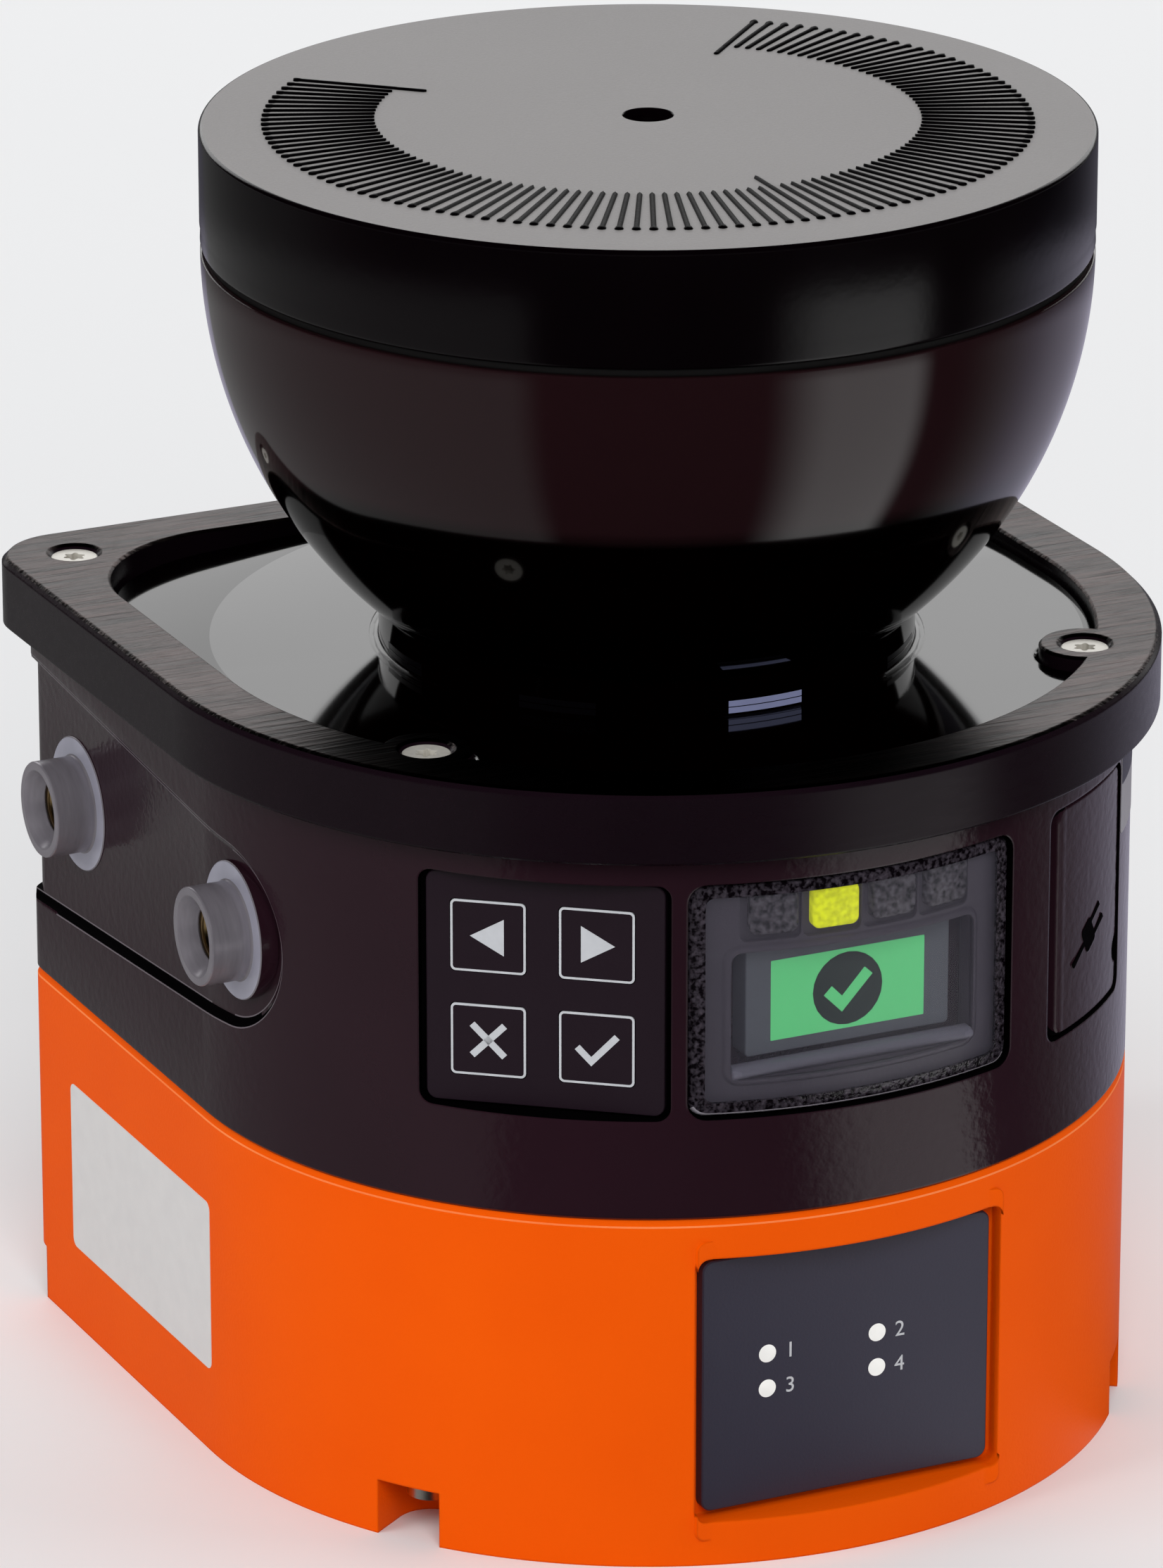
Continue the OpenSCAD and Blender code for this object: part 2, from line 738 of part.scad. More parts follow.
module base_housing() {
    color([0.92, 0.37, 0.15]) difference() {
        union() {
            difference() {
                slab(0, base_height) body_outline();
                slab(-1, base_height - wall) body_outline(wall);
            }
            slab(0, base_height - wall + lap) intersection() {
                body_outline(wall / 2);
                for (place = concat(front_screws, back_screws))
                    translate(place) circle(column_radius);
            }
            for (place = bottom_posts)
                translate(place) rod(post_radius, bottom_thickness, base_height - wall + lap);
            for (place = board_posts)
                translate(place) rod(post_radius, network_board_top, base_height - wall + lap);
            connector_bay(field_wall, body_back - wall / 2);
            block(0, indicator_bottom + indicator_height / 2, 2 * indicator_half_width,
                indicator_height + 2 * field_wall, 1, indicator_floor - field_wall, indicator_distance);
        }
        screw_pocket(front_screws[0], -90 - screw_angle);
        screw_pocket(front_screws[1], screw_angle - 90);
        screw_pocket(back_screws[0], 135);
        screw_pocket(back_screws[1], 45);
        for (place = concat(front_screws, back_screws))
            translate(place) rod(screw_clear_radius, 0, base_height + 1);
        for (place = bottom_posts)
            translate(place) rod(screw_radius, 0, bottom_screw_length);
        for (place = board_posts)
            translate(place) rod(screw_radius, 0, network_board_top + board_screw_grip);
        connector_bay();
        for (side = [-1, 1])
            translate([side * connector_x, bay_floor + lap, connector_z]) rotate([90, 0, 0])
                cylinder(r = connector_radius, h = connector_tail + 1);
        block(0, indicator_bottom + indicator_height / 2, 2 * indicator_half_width,
            indicator_height, indicator_corner, indicator_floor, body_radius + 1);
        indicator_light_places() rotate([90, 0, 0])
            cylinder(r = indicator_light_radius, h = indicator_distance);
        slab(base_height - wall - 1, base_height + 1)
            square([link_opening_width, link_opening_depth], center = true);
        seal_ring(base_height + 1);
    }
}

// Seal round the opening between base and housing
module seal_ring(top) {
    inner = [link_opening_width + 2 * base_seal_offset, link_opening_depth + 2 * base_seal_offset];
    outer = [inner.x + 2 * base_seal_width, inner.y + 2 * base_seal_width];
    slab(base_height - base_seal_height, top) difference() {
        rounded_rect(outer.x, outer.y, base_seal_corner + base_seal_width);
        rounded_rect(inner.x, inner.y, base_seal_corner);
    }
}

module base_seal() color([0.1, 0.1, 0.1]) seal_ring(base_height);

module bottom_plate() {
    color([0.14, 0.13, 0.13]) difference() {
        slab(0, bottom_thickness) difference() {
            body_outline(wall + bottom_gap);
            for (place = concat(front_screws, back_screws))
                translate(place) circle(column_radius + bottom_gap);
        }
        for (place = bottom_posts) translate(place) {
            rod(screw_clear_radius, -1, bottom_thickness + 1);
            translate([0, 0, -lap])
                cylinder(r1 = countersink_radius + lap, r2 = 0, h = countersink_radius + lap);
        }
    }
}

module bottom_screws() {
    color([0.75, 0.75, 0.75])
        for (place = bottom_posts)
            translate([place.x, place.y, countersink_radius - flat_head_radius])
                mirror([0, 0, 1]) flat_screw(bottom_screw_length - countersink_radius);
}

module base_screws() {
    color([0.78, 0.78, 0.78])
        for (place = concat(front_screws, back_screws))
            translate([place.x, place.y, pocket_height]) mirror([0, 0, 1])
                pan_screw(base_height - pocket_height + base_screw_grip);
}

// Puts its children at each indicator light, at the head axis's distance
module indicator_light_places() {
    panel_bottom = indicator_bottom + (indicator_height - indicator_panel_height) / 2;
    for (side = [-1, 1], row = [0, 1])
        translate([indicator_light_shift + side * indicator_light_pitch / 2, 0,
            panel_bottom + indicator_light_lift - row * indicator_light_row]) children();
}

module indicator_panel() {
    color([0.09, 0.1, 0.13]) difference() {
        block(0, indicator_bottom + indicator_height / 2, 2 * indicator_panel_half_width,
            indicator_panel_height, indicator_corner, indicator_floor, indicator_distance);
        indicator_light_places() rotate([90, 0, 0])
            cylinder(r = indicator_light_radius, h = body_radius);
    }
}

module indicator_lights() {
    back = indicator_floor - field_wall;
    color([0.95, 0.96, 0.98]) indicator_light_places()
        translate([0, -back, 0]) rotate([90, 0, 0])
            cylinder(r = indicator_light_radius, h = indicator_distance - back);
}

module indicator_board() {
    back = indicator_floor - field_wall;
    color([0.05, 0.35, 0.2])
        block(0, indicator_bottom + indicator_height / 2, 1.6 * indicator_panel_half_width,
            indicator_height / 2, indicator_corner, back - board_thickness, back);
}

module network_board() color([0.05, 0.35, 0.2]) board(network_board_top - board_thickness);

module network_board_screws() {
    color([0.75, 0.75, 0.75])
        for (place = board_posts)
            translate([place.x, place.y, network_board_top - board_thickness]) mirror([0, 0, 1])
                pan_screw(board_thickness + board_screw_grip);
}

// Level where the plug of the lower board meets the socket of the upper board
link_level = (network_board_top + control_board_bottom) / 2 + tongue_height;

module link_plug() {
    color([0.12, 0.12, 0.13]) {
        slab(network_board_top, link_level) square([link_width, link_depth], center = true);
        slab(link_level - lap, link_level + tongue_height)
            square([link_width - tongue_height, tongue_thickness], center = true);
    }
}

module link_socket() {
    color([0.85, 0.83, 0.76]) difference() {
        slab(link_level, control_board_bottom) square([link_width, link_depth], center = true);
        slab(link_level - 1, link_level + tongue_height)
            square([link_width - tongue_height, tongue_thickness], center = true);
    }
}

// Round connector with a hexagonal collar, along +Y
module round_connector(side) {
    color([0.72, 0.7, 0.66])
        translate([side * connector_x, bay_floor, connector_z]) rotate([-90, 0, 0]) difference() {
            union() {
                rod(connector_radius, -connector_tail, connector_end - bay_floor);
                cylinder(r = connector_hex, h = connector_hex_thickness, $fn = 6);
            }
            rod(connector_bore, connector_hex_thickness, connector_end);
        }
}

// Contact carrier with a ring of pins and one in the middle
module connector_contacts(side, pins) {
    color([0.15, 0.15, 0.16])
        translate([side * connector_x, bay_floor + connector_hex_thickness, connector_z])
            rotate([-90, 0, 0]) {
                rod(connector_bore, 0, carrier_thickness);
                for (pin = [1:pins])
                    rotate(360 * pin / pins) translate([contact_ring, 0, 0])
                        rod(contact_radius, 0, carrier_thickness + contact_length);
            }
}

module power_connector() round_connector(-1);
module power_contacts() connector_contacts(-1, 8);
module network_connector() round_connector(1);
module network_contacts() connector_contacts(1, 4);

// ---------- Main housing ----------

// Puts its children at each side bush, with +Z pointing outwards from the middle plane
module bush_places() {
    for (side = [-1, 1], y = [front_bush(side), bush_back_y])
        translate([0, y, bush_level]) rotate([0, side * 90, 0]) children();
}

// Recessed pad on a side: round at the front bush, widening towards the back
module side_pad(side) {
    reach = body_back - front_bush(side) + 1;
    tangent = [-pad_radius * sin(pad_slope), pad_radius * cos(pad_slope)];
    flare = reach * tan(pad_slope);
    difference() {
        translate([side > 0 ? body_radius / 2 : -body_radius - 1, front_bush(side), bush_level])
            rotate([90, 0, 90]) linear_extrude(body_radius / 2 + 1) {
                circle(pad_radius);
                polygon([tangent, [reach, tangent.y + flare], [reach, -tangent.y - flare],
                    [tangent.x, -tangent.y]]);
            }
        slab(base_height - 1, housing_top + 1) body_outline(pad_depth);
    }
}

module service_recess()
    facing(service_angle)
        curved_block(0, field_middle, service_width, field_height, service_corner,
            service_floor, body_radius + 1);

module socket_well(grow = 0)
    facing(service_angle)
        block(socket_x, field_middle, socket_well_width + 2 * grow, socket_well_height + 2 * grow, 1,
            service_floor - socket_well_depth - grow, service_floor + (grow > 0 ? 0 : lap));

module main_housing() {
    color([0.11, 0.1, 0.1]) difference() {
        union() {
            difference() {
                slab(base_height, housing_top) body_outline();
                slab(housing_floor, housing_top + 1) body_outline(wall);
            }
            slab(rim_bottom - ledge_height, rim_bottom) difference() {
                body_outline(wall / 2);
                opening_outline(deck_gap + cover_wall);
            }
            slab(housing_floor - lap, rim_bottom) intersection() {
                body_outline(wall / 2);
                for (place = front_screws) translate(place) circle(lug_radius);
            }
            slab(housing_floor - lap, housing_top) intersection() {
                body_outline(wall / 2);
                for (place = back_screws) translate(place) circle(lug_radius);
            }
            for (place = board_posts)
                translate(place) rod(post_radius, housing_floor - lap, control_board_bottom);
            intersection() {
                slab(base_height, housing_top) body_outline(wall / 2);
                bush_places() rod(bush_disc_radius + bush_boss_wall, bush_foot, body_radius);
            }
            facing(-keypad_angle)
                block(0, field_middle, 2 * (keypad_well + field_wall), field_height, 1,
                    keypad_floor - field_wall, panel_back + lap);
            curved_block(0, field_middle, 2 * display_half_width + 1, field_height + 1, 1,
                bezel_back - field_wall, body_radius - wall / 2);
            block(0, field_bottom + window_lift + window_height / 2,
                2 * (window_half_width + field_wall), window_height + 2 * field_wall, 1,
                screen_distance - screen_thickness - field_wall, bezel_back);
            facing(service_angle) {
                curved_block(0, field_middle, service_width + field_wall, field_height, 1,
                    service_floor - field_wall, service_floor + lap);
                block(hinge_x, field_middle, 2 * hinge_inset, field_height, 1,
                    service_floor - 2 * field_wall, service_floor);
            }
            socket_well(field_wall);
        }
        slab(rim_bottom, housing_top + 1) rim_outline(-rim_gap);
        optics_seal_ring(rim_bottom + 1);
        for (place = concat(front_screws, back_screws)) translate(place) {
            rod(screw_radius, base_height - 1, base_height + base_screw_grip);
            rod(screw_radius, rim_bottom - clamp_screw_grip, housing_top + 1);
        }
        for (place = board_posts)
            translate(place)
                rod(screw_radius, control_board_bottom - board_screw_grip, control_board_bottom + 1);
        slab(base_height - 1, housing_floor + 1)
            square([link_opening_width, link_opening_depth], center = true);
        side_pad(-1);
        side_pad(1);
        bush_places() {
            rod(bush_radius, bush_foot - 1, body_radius + 1);
            rod(bush_disc_radius, body_radius - pad_depth - bush_disc_thickness, body_radius + 1);
        }
        facing(-keypad_angle) {
            block(0, field_middle, keypad_width, field_height, keypad_corner,
                panel_back, body_radius + 1);
            block(0, field_middle, 2 * keypad_well, 2 * keypad_well, 1,
                keypad_floor, panel_back + lap);
        }
        curved_block(0, field_middle, 2 * display_half_width, field_height, display_corner,
            bezel_back, body_radius + 1);
        block(0, field_bottom + window_lift + window_height / 2, 2 * window_half_width,
            window_height, window_corner, screen_distance - screen_thickness, body_radius);
        service_recess();
        socket_well();
        facing(service_angle) translate([hinge_x, -hinge_distance, 0]) {
            rod(knuckle_radius + knuckle_room, field_bottom, field_bottom + field_height);
            rod(hinge_pin_radius, field_bottom - hinge_pin_grip,
                field_bottom + field_height + hinge_pin_grip);
        }
    }
}

module side_bushes() {
    disc_face = body_radius - pad_depth;
    color([0.72, 0.72, 0.72]) bush_places() difference() {
        union() {
            rod(bush_radius, bush_foot, bush_reach);
            rod(bush_disc_radius, disc_face - bush_disc_thickness, disc_face);
        }
        rod(insert_radius, bush_foot + 1, bush_reach + 1);
        translate([0, 0, insert_face])
            cylinder(r1 = insert_radius, r2 = mouth_radius + lap, h = mouth_radius + lap - insert_radius);
    }
}

module threaded_inserts() {
    color([0.78, 0.62, 0.32]) bush_places() difference() {
        rod(insert_radius, insert_face - insert_length, insert_face);
        rod(thread_radius, insert_face - insert_length - 1, insert_face + 1);
    }
}

// ---------- Display ----------

// Puts its children at each status lens
module lens_places() {
    for (step = [-1.5:1:1.5])
        facing(step * lens_pitch) children();
}

module display_cover() {
    color([0.2, 0.2, 0.22, 0.5])
        curved_block(0, field_middle, 2 * (display_half_width - field_gap),
            field_height - 2 * field_gap, display_corner - field_gap, bezel_face, display_face);
}

module display_bezel() {
    color([0.13, 0.13, 0.14]) difference() {
        curved_block(0, field_middle, 2 * (display_half_width - field_gap),
            field_height - 2 * field_gap, display_corner - field_gap, bezel_back, bezel_face);
        block(0, field_bottom + window_lift + window_height / 2, 2 * window_half_width,
            window_height, window_corner, bezel_back / 2, body_radius);
        lens_places()
            block(0, field_bottom + lens_lift, lens_width + 2 * lens_gap, lens_height + 2 * lens_gap,
                lens_corner, bezel_back / 2, body_radius);
    }
}

module status_lenses() {
    color([0.25, 0.25, 0.25]) intersection() {
        lens_places()
            block(0, field_bottom + lens_lift, lens_width, lens_height, lens_corner,
                bezel_back / 2, body_radius);
        difference() {
            rod(bezel_face, field_bottom, field_bottom + field_height);
            rod(bezel_back, field_bottom - 1, field_bottom + field_height + 1);
        }
    }
}

module display_screen() {
    color([0.31, 0.75, 0.45])
        block(0, field_bottom + window_lift + window_height - screen_height / 2,
            2 * screen_half_width, screen_height, lap,
            screen_distance - screen_thickness, screen_distance);
}

// ---------- Keypad ----------

// Puts its children at one key: column and row are -1 or 1
module key_place(column, row)
    facing(-keypad_angle)
        translate([key_shift + column * key_pitch / 2, 0, field_middle + row * key_pitch / 2])
            children();

module keypad_panel() {
    color([0.13, 0.13, 0.15]) difference() {
        facing(-keypad_angle)
            block(0, field_middle, panel_width, field_height - 2 * field_gap, keypad_corner - field_gap,
                panel_back, panel_distance);
        for (column = [-1, 1], row = [-1, 1])
            key_place(column, row)
                block(0, 0, key_width + 2 * key_gap, key_height + 2 * key_gap, key_corner,
                    panel_back - 1, panel_distance + 1);
    }
}

// Key cap with the flange and stem behind it
module key(column, row) {
    flange_back = panel_back - key_flange_thickness;
    stem_end = keypad_floor + board_thickness + key_travel + key_stem_room;
    color([0.16, 0.16, 0.18]) key_place(column, row) {
        block(0, 0, key_width, key_height, key_corner, flange_back, panel_distance);
        block(0, 0, key_width + 2 * key_flange, key_height + 2 * key_flange, key_corner,
            flange_back, panel_back);
        translate([0, -stem_end, 0]) rotate([90, 0, 0])
            cylinder(r = key_stem_radius, h = flange_back - stem_end + lap);
    }
}

module key_left() key(-1, 1);
module key_right() key(1, 1);
module key_cancel() key(-1, -1);
module key_confirm() key(1, -1);

module keypad_board() {
    color([0.05, 0.35, 0.2]) facing(-keypad_angle)
        block(0, field_middle, 2 * (keypad_well - field_gap), 2 * (keypad_well - field_gap), 1,
            keypad_floor, keypad_floor + board_thickness);
}

// ---------- Service cover ----------

module service_cover() {
    left = hinge_x;
    right = service_width / 2 - field_gap;
    height = field_height - 2 * field_gap;
    color([0.12, 0.11, 0.11]) facing(service_angle) difference() {
        union() {
            curved_block((left + right) / 2, field_middle, right - left, height, service_corner,
                service_back, service_face);
            curved_block((left + right) / 2 - service_corner, field_middle,
                right - left - 2 * service_corner, height, lap, service_back, service_face);
            translate([hinge_x, -hinge_distance, 0])
                rod(knuckle_radius, field_middle - height / 2, field_middle + height / 2);
        }
        translate([hinge_x, -hinge_distance, 0])
            rod(hinge_pin_radius + hinge_clearance, field_bottom, field_bottom + field_height);
        translate([right, 0, field_bottom + 3 * notch_radius]) rotate([90, 0, 0])
            cylinder(r = notch_radius, h = body_radius);
    }
}

module hinge_pin() {
    color([0.7, 0.7, 0.7]) facing(service_angle) translate([hinge_x, -hinge_distance, 0])
        rod(hinge_pin_radius, field_bottom - hinge_pin_grip,
            field_bottom + field_height + hinge_pin_grip);
}

module service_socket() {
    foot = service_floor - socket_well_depth;
    color([0.72, 0.72, 0.72]) facing(service_angle) difference() {
        block(socket_x, field_middle, socket_width, socket_height, lap, foot, foot + socket_length);
        block(socket_x, field_middle, socket_width - 2 * socket_wall, socket_height - 2 * socket_wall,
            socket_wall / 2, foot + 1, foot + socket_length + 1);
    }
}

// ---------- Boards and chassis ----------

module control_board() color([0.05, 0.35, 0.2]) board(control_board_bottom);

module board_spacers() {
    color([0.8, 0.7, 0.45])
        for (place = board_posts) translate(place) difference() {
            rod(spacer_radius, control_board_bottom + board_thickness, chassis_top - chassis_thickness);
            rod(screw_clear_radius, control_board_bottom, chassis_top);
        }
}

module chassis_plate() {
    color([0.7, 0.7, 0.72]) slab(chassis_top - chassis_thickness, chassis_top) difference() {
        circle(chassis_radius);
        for (place = board_posts)
            translate(place) circle(screw_clear_radius);
    }
}

module chassis_screws() {
    color([0.75, 0.75, 0.75])
        for (place = board_posts)
            translate([place.x, place.y, chassis_top])
                pan_screw(chassis_top - control_board_bottom + board_screw_grip);
}

// ---------- Receiver ----------

// Level of the lens seat and radius of the lens
lens_seat = chassis_top + barrel_height - lens_seat_depth;
receiver_lens_radius = barrel_radius - barrel_wall + lens_seat_width;

module lens_barrel() {
    color([0.15, 0.15, 0.16]) difference() {
        union() {
            rod(barrel_radius, chassis_top, chassis_top + barrel_height);
            rod(barrel_flange_radius, chassis_top, chassis_top + barrel_flange_thickness);
        }
        rod(barrel_radius - barrel_wall, chassis_top - 1, chassis_top + barrel_height + 1);
        rod(receiver_lens_radius, lens_seat, chassis_top + barrel_height + 1);
    }
}

module receiver_lens() {
    dome = (receiver_lens_radius * receiver_lens_radius + lens_rise * lens_rise) / (2 * lens_rise);
    color([0.5, 0.4, 0.55]) difference() {
        intersection() {
            rod(receiver_lens_radius, lens_seat, lens_seat + lens_edge + lens_rise + 1);
            translate([0, 0, lens_seat + lens_edge + lens_rise - dome]) sphere(dome, $fn = 240);
        }
        rod(laser_radius, lens_seat - 1, lens_seat + dome);
    }
}

module laser_module() {
    color([0.75, 0.65, 0.4])
        rod(laser_radius, lens_seat + lens_edge + lens_rise - laser_length,
            lens_seat + lens_edge + lens_rise + 1);
}

module receiver_board() {
    color([0.05, 0.35, 0.2]) {
        rod(barrel_radius - barrel_wall - field_gap, chassis_top, chassis_top + board_thickness);
        slab(chassis_top + board_thickness - lap, chassis_top + board_thickness + sensor_height)
            square(2 * sensor_half_width, center = true);
    }
}

module status_light_board() {
    top = deck_top - neck_light_lift;
    color([0.9, 0.9, 0.88]) difference() {
        rod(neck_radius - cover_wall, top - ring_board_thickness, top);
        rod(barrel_radius, top - ring_board_thickness - 1, top + 1);
    }
}

// ---------- Clamp plate and optics cover ----------

module clamp_plate() {
    color([0.2, 0.2, 0.2]) difference() {
        slab(housing_top, plate_top) difference() {
            d_outline(plate_radius, plate_back, plate_corner);
            opening_outline();
        }
        for (place = concat(front_screws, back_screws)) translate(place) {
            rod(screw_clear_radius, housing_top - 1, plate_top + 1);
            translate([0, 0, plate_top - countersink_radius])
                cylinder(r1 = 0, r2 = countersink_radius + lap, h = countersink_radius + lap);
        }
    }
}

module clamp_screws() {
    head_top = plate_top - countersink_radius + flat_head_radius;
    color([0.8, 0.8, 0.8])
        for (place = concat(front_screws, back_screws))
            translate([place.x, place.y, head_top])
                flat_screw(head_top - rim_bottom + clamp_screw_grip);
}

// Half section of the neck and bowl, about the head axis
module bowl_section() {
    arc_centre = [bowl_top_radius - bowl_arc, seam_level];
    difference() {
        union() {
            translate([0, deck_top - cover_wall])
                square([neck_radius, neck_height + cover_wall + lap]);
            intersection() {
                translate(arc_centre) circle(bowl_arc, $fn = 360);
                translate([0, neck_top]) square([bowl_top_radius + 1, cover_top - neck_top]);
            }
        }
        intersection() {
            translate(arc_centre) circle(bowl_arc - cover_wall, $fn = 360);
            translate([0, neck_top]) square([bowl_top_radius + 1, bowl_height]);
        }
        translate([-1, deck_top - cover_wall - 1])
            square([neck_radius - cover_wall + 1, neck_height + 2 * cover_wall]);
    }
}

// Status lights in the neck's wall
module neck_light_ring() {
    bottom = deck_top + neck_light_lift;
    for (step = [(1 - neck_light_count) / 2:(neck_light_count - 1) / 2])
        facing(step * neck_light_step) translate([0, 0, bottom]) rotate([0, 0, -90 - neck_light_angle / 2])
            rotate_extrude(angle = neck_light_angle)
                translate([neck_radius - cover_wall, 0]) square([cover_wall, neck_light_height]);
}

module optics_cover() {
    color([0.06, 0.05, 0.06]) difference() {
        union() {
            rotate_extrude() bowl_section();
            slab(deck_top - cover_wall, deck_top) difference() {
                opening_outline(deck_gap);
                circle(neck_radius - lap);
            }
            slab(rim_bottom, deck_top - cover_wall + lap) difference() {
                opening_outline(deck_gap);
                opening_outline(deck_gap + cover_wall);
            }
            slab(rim_bottom, housing_top) difference() {
                rim_outline();
                opening_outline(deck_gap + cover_wall);
            }
        }
        for (place = front_screws)
            translate(place) rod(screw_clear_radius, rim_bottom - 1, housing_top + 1);
        neck_light_ring();
    }
}

// Seal in a groove of the housing's ledge
module optics_seal_ring(top) {
    middle = (deck_gap + cover_wall) / 2;
    slab(rim_bottom - optics_seal_height, top) difference() {
        opening_outline(middle - optics_seal_width / 2);
        opening_outline(middle + optics_seal_width / 2);
    }
}

module optics_seal() color([0.08, 0.08, 0.08]) optics_seal_ring(rim_bottom);
module neck_lights() color([0.85, 0.9, 1]) neck_light_ring();

// ---------- Head cap ----------

// Height of the domed top face at a given radius
function dome_height(radius) =
    cap_rim + dome_rise - dome_radius + sqrt(dome_radius * dome_radius - radius * radius);

// Outer half section of the cap
module cap_section() {
    polygon([[0, cap_bottom], [cap_foot_radius, cap_bottom], [cap_radius, cap_bottom + shoulder_height],
        [0, cap_bottom + shoulder_height]]);
    translate([0, cap_bottom + shoulder_height])
        square([cap_radius, cap_height - shoulder_height - cap_edge_radius]);
    translate([0, cap_bottom + shoulder_height])
        square([dome_edge, cap_height - shoulder_height]);
    translate([dome_edge, cap_rim - cap_edge_radius]) circle(cap_edge_radius);
    polygon(concat([[0, cap_rim - cap_edge_radius]],
        [for (step = [0:dome_bands]) [dome_edge * step / dome_bands,
            dome_height(dome_edge * step / dome_bands)]],
        [[dome_edge, cap_rim - cap_edge_radius]]));
}

// One raised mark of the angle scale, sloping with the top face
module scale_mark(length) {
    start = [mark_outer - length, dome_height(mark_outer - length)];
    end = [mark_outer, dome_height(mark_outer)];
    translate([mark_width / 2, 0, 0]) rotate([0, -90, 0]) linear_extrude(mark_width)
        polygon([[start.y - mark_height, -start.x], [start.y + mark_height, -start.x],
            [end.y + mark_height, -end.x], [end.y - mark_height, -end.x]]);
}

module head_cap() {
    last = round(scale_half_angle / mark_step);
    color([0.35, 0.35, 0.36]) difference() {
        union() {
            rotate_extrude() difference() {
                cap_section();
                translate([-1, 0]) square([cap_radius - cap_wall + 1, cap_rim - cap_wall]);
                translate([-1, 0]) square([cap_foot_radius - seat_width + 1, bracket_top]);
            }
            for (mark = [-last:last])
                facing(mark * mark_step)
                    scale_mark(mark == 0 || abs(mark) == last ? long_mark_length : mark_length);
        }
        rod(dimple_radius, cap_rim + dome_rise - dimple_depth, cap_rim + dome_rise + 1);
    }
}

module cap_seal() {
    color([0.05, 0.05, 0.05]) difference() {
        rod(cap_foot_radius - lap, cover_top, cap_bottom);
        rod(cap_foot_radius - seat_width, cover_top - 1, cap_bottom + 1);
    }
}

// ---------- Scan drive ----------

module motor_bracket() {
    color([0.6, 0.6, 0.62]) difference() {
        rod(cap_foot_radius - seat_width, cover_top, bracket_top);
        rod(bearing_radius, cover_top - 1, bracket_top + 1);
    }
}

module motor_can() {
    color([0.65, 0.65, 0.66]) difference() {
        rod(motor_radius, bracket_top, motor_top);
        rod(motor_radius - motor_wall, bracket_top + motor_wall, motor_top - bracket_thickness);
        rod(bearing_radius - 1, bracket_top - 1, motor_top);
        rod(bearing_radius, motor_top - bracket_thickness, motor_top + 1);
    }
}

module motor_windings() {
    color([0.7, 0.4, 0.2]) difference() {
        rod(motor_radius - motor_wall, bracket_top + motor_wall, motor_top - bracket_thickness);
        rod(winding_inner_radius, bracket_top, motor_top);
    }
}

// Bearing ring round the shaft
module bearing(bottom) {
    color([0.75, 0.75, 0.77]) difference() {
        rod(bearing_radius, bottom, bottom + bracket_thickness);
        rod(shaft_radius + shaft_clearance, bottom - 1, bottom + bracket_thickness + 1);
    }
}

module lower_bearing() bearing(cover_top);
module upper_bearing() bearing(motor_top - bracket_thickness);

module motor_shaft() {
    color([0.8, 0.8, 0.82]) rod(shaft_radius, carrier_top - shaft_grip, motor_top - magnet_room);
}

module rotor_magnet() {
    color([0.3, 0.3, 0.32]) difference() {
        rod(winding_inner_radius - air_gap, bracket_top + motor_wall + magnet_room,
            motor_top - bracket_thickness - magnet_room);
        rod(shaft_radius, bracket_top, motor_top);
    }
}

module encoder_disc() {
    color([0.75, 0.75, 0.7]) slab(carrier_top, carrier_top + encoder_thickness) difference() {
        circle(encoder_radius);
        circle(shaft_radius);
        for (slot = [1:encoder_slots])
            rotate(360 * slot / encoder_slots)
                translate([encoder_radius - 3, 0]) square([4, 1], center = true);
    }
}

module encoder_reader() {
    slot_bottom = carrier_top - encoder_room;
    color([0.12, 0.12, 0.13]) difference() {
        translate([encoder_radius - reader_depth / 2, -reader_width / 2, slot_bottom - reader_jaw])
            cube([reader_depth, reader_width, cover_top - slot_bottom + reader_jaw]);
        translate([0, -reader_width, slot_bottom])
            cube([encoder_radius + encoder_room, 2 * reader_width,
                encoder_thickness + 2 * encoder_room]);
    }
}

// Half space behind the tilted mirror face, moved back by the given depth
module behind_mirror(depth) {
    size = 4 * carrier_radius;
    translate([0, 0, scan_level]) rotate([mirror_tilt, 0, 0]) translate([-size / 2, -size / 2, depth])
        cube([size, size, size]);
}

module mirror_carrier() {
    color([0.25, 0.25, 0.27]) difference() {
        intersection() {
            rod(carrier_radius, scan_level - carrier_radius, carrier_top);
            behind_mirror(mirror_thickness);
        }
        rod(shaft_radius, carrier_top - shaft_grip, carrier_top + 1);
    }
}

module scan_mirror() {
    color([0.9, 0.9, 0.95]) difference() {
        intersection() {
            rod(carrier_radius, scan_level - carrier_radius, carrier_top);
            behind_mirror(0);
        }
        behind_mirror(mirror_thickness);
    }
}

base_housing();
bottom_plate();
bottom_screws();
base_screws();
base_seal();
indicator_panel();
indicator_lights();
indicator_board();
network_board();
network_board_screws();
link_plug();
link_socket();
power_connector();
power_contacts();
network_connector();
network_contacts();
main_housing();
side_bushes();
threaded_inserts();
display_cover();
display_bezel();
display_screen();
status_lenses();
keypad_panel();
keypad_board();
key_left();
key_right();
key_cancel();
key_confirm();
service_cover();
hinge_pin();
service_socket();
control_board();
board_spacers();
chassis_plate();
chassis_screws();
lens_barrel();
receiver_lens();
laser_module();
receiver_board();
status_light_board();
clamp_plate();
clamp_screws();
optics_cover();
optics_seal();
neck_lights();
head_cap();
cap_seal();
motor_bracket();
motor_can();
motor_windings();
lower_bearing();
upper_bearing();
encoder_reader();
motor_shaft();
rotor_magnet();
encoder_disc();
mirror_carrier();
scan_mirror();
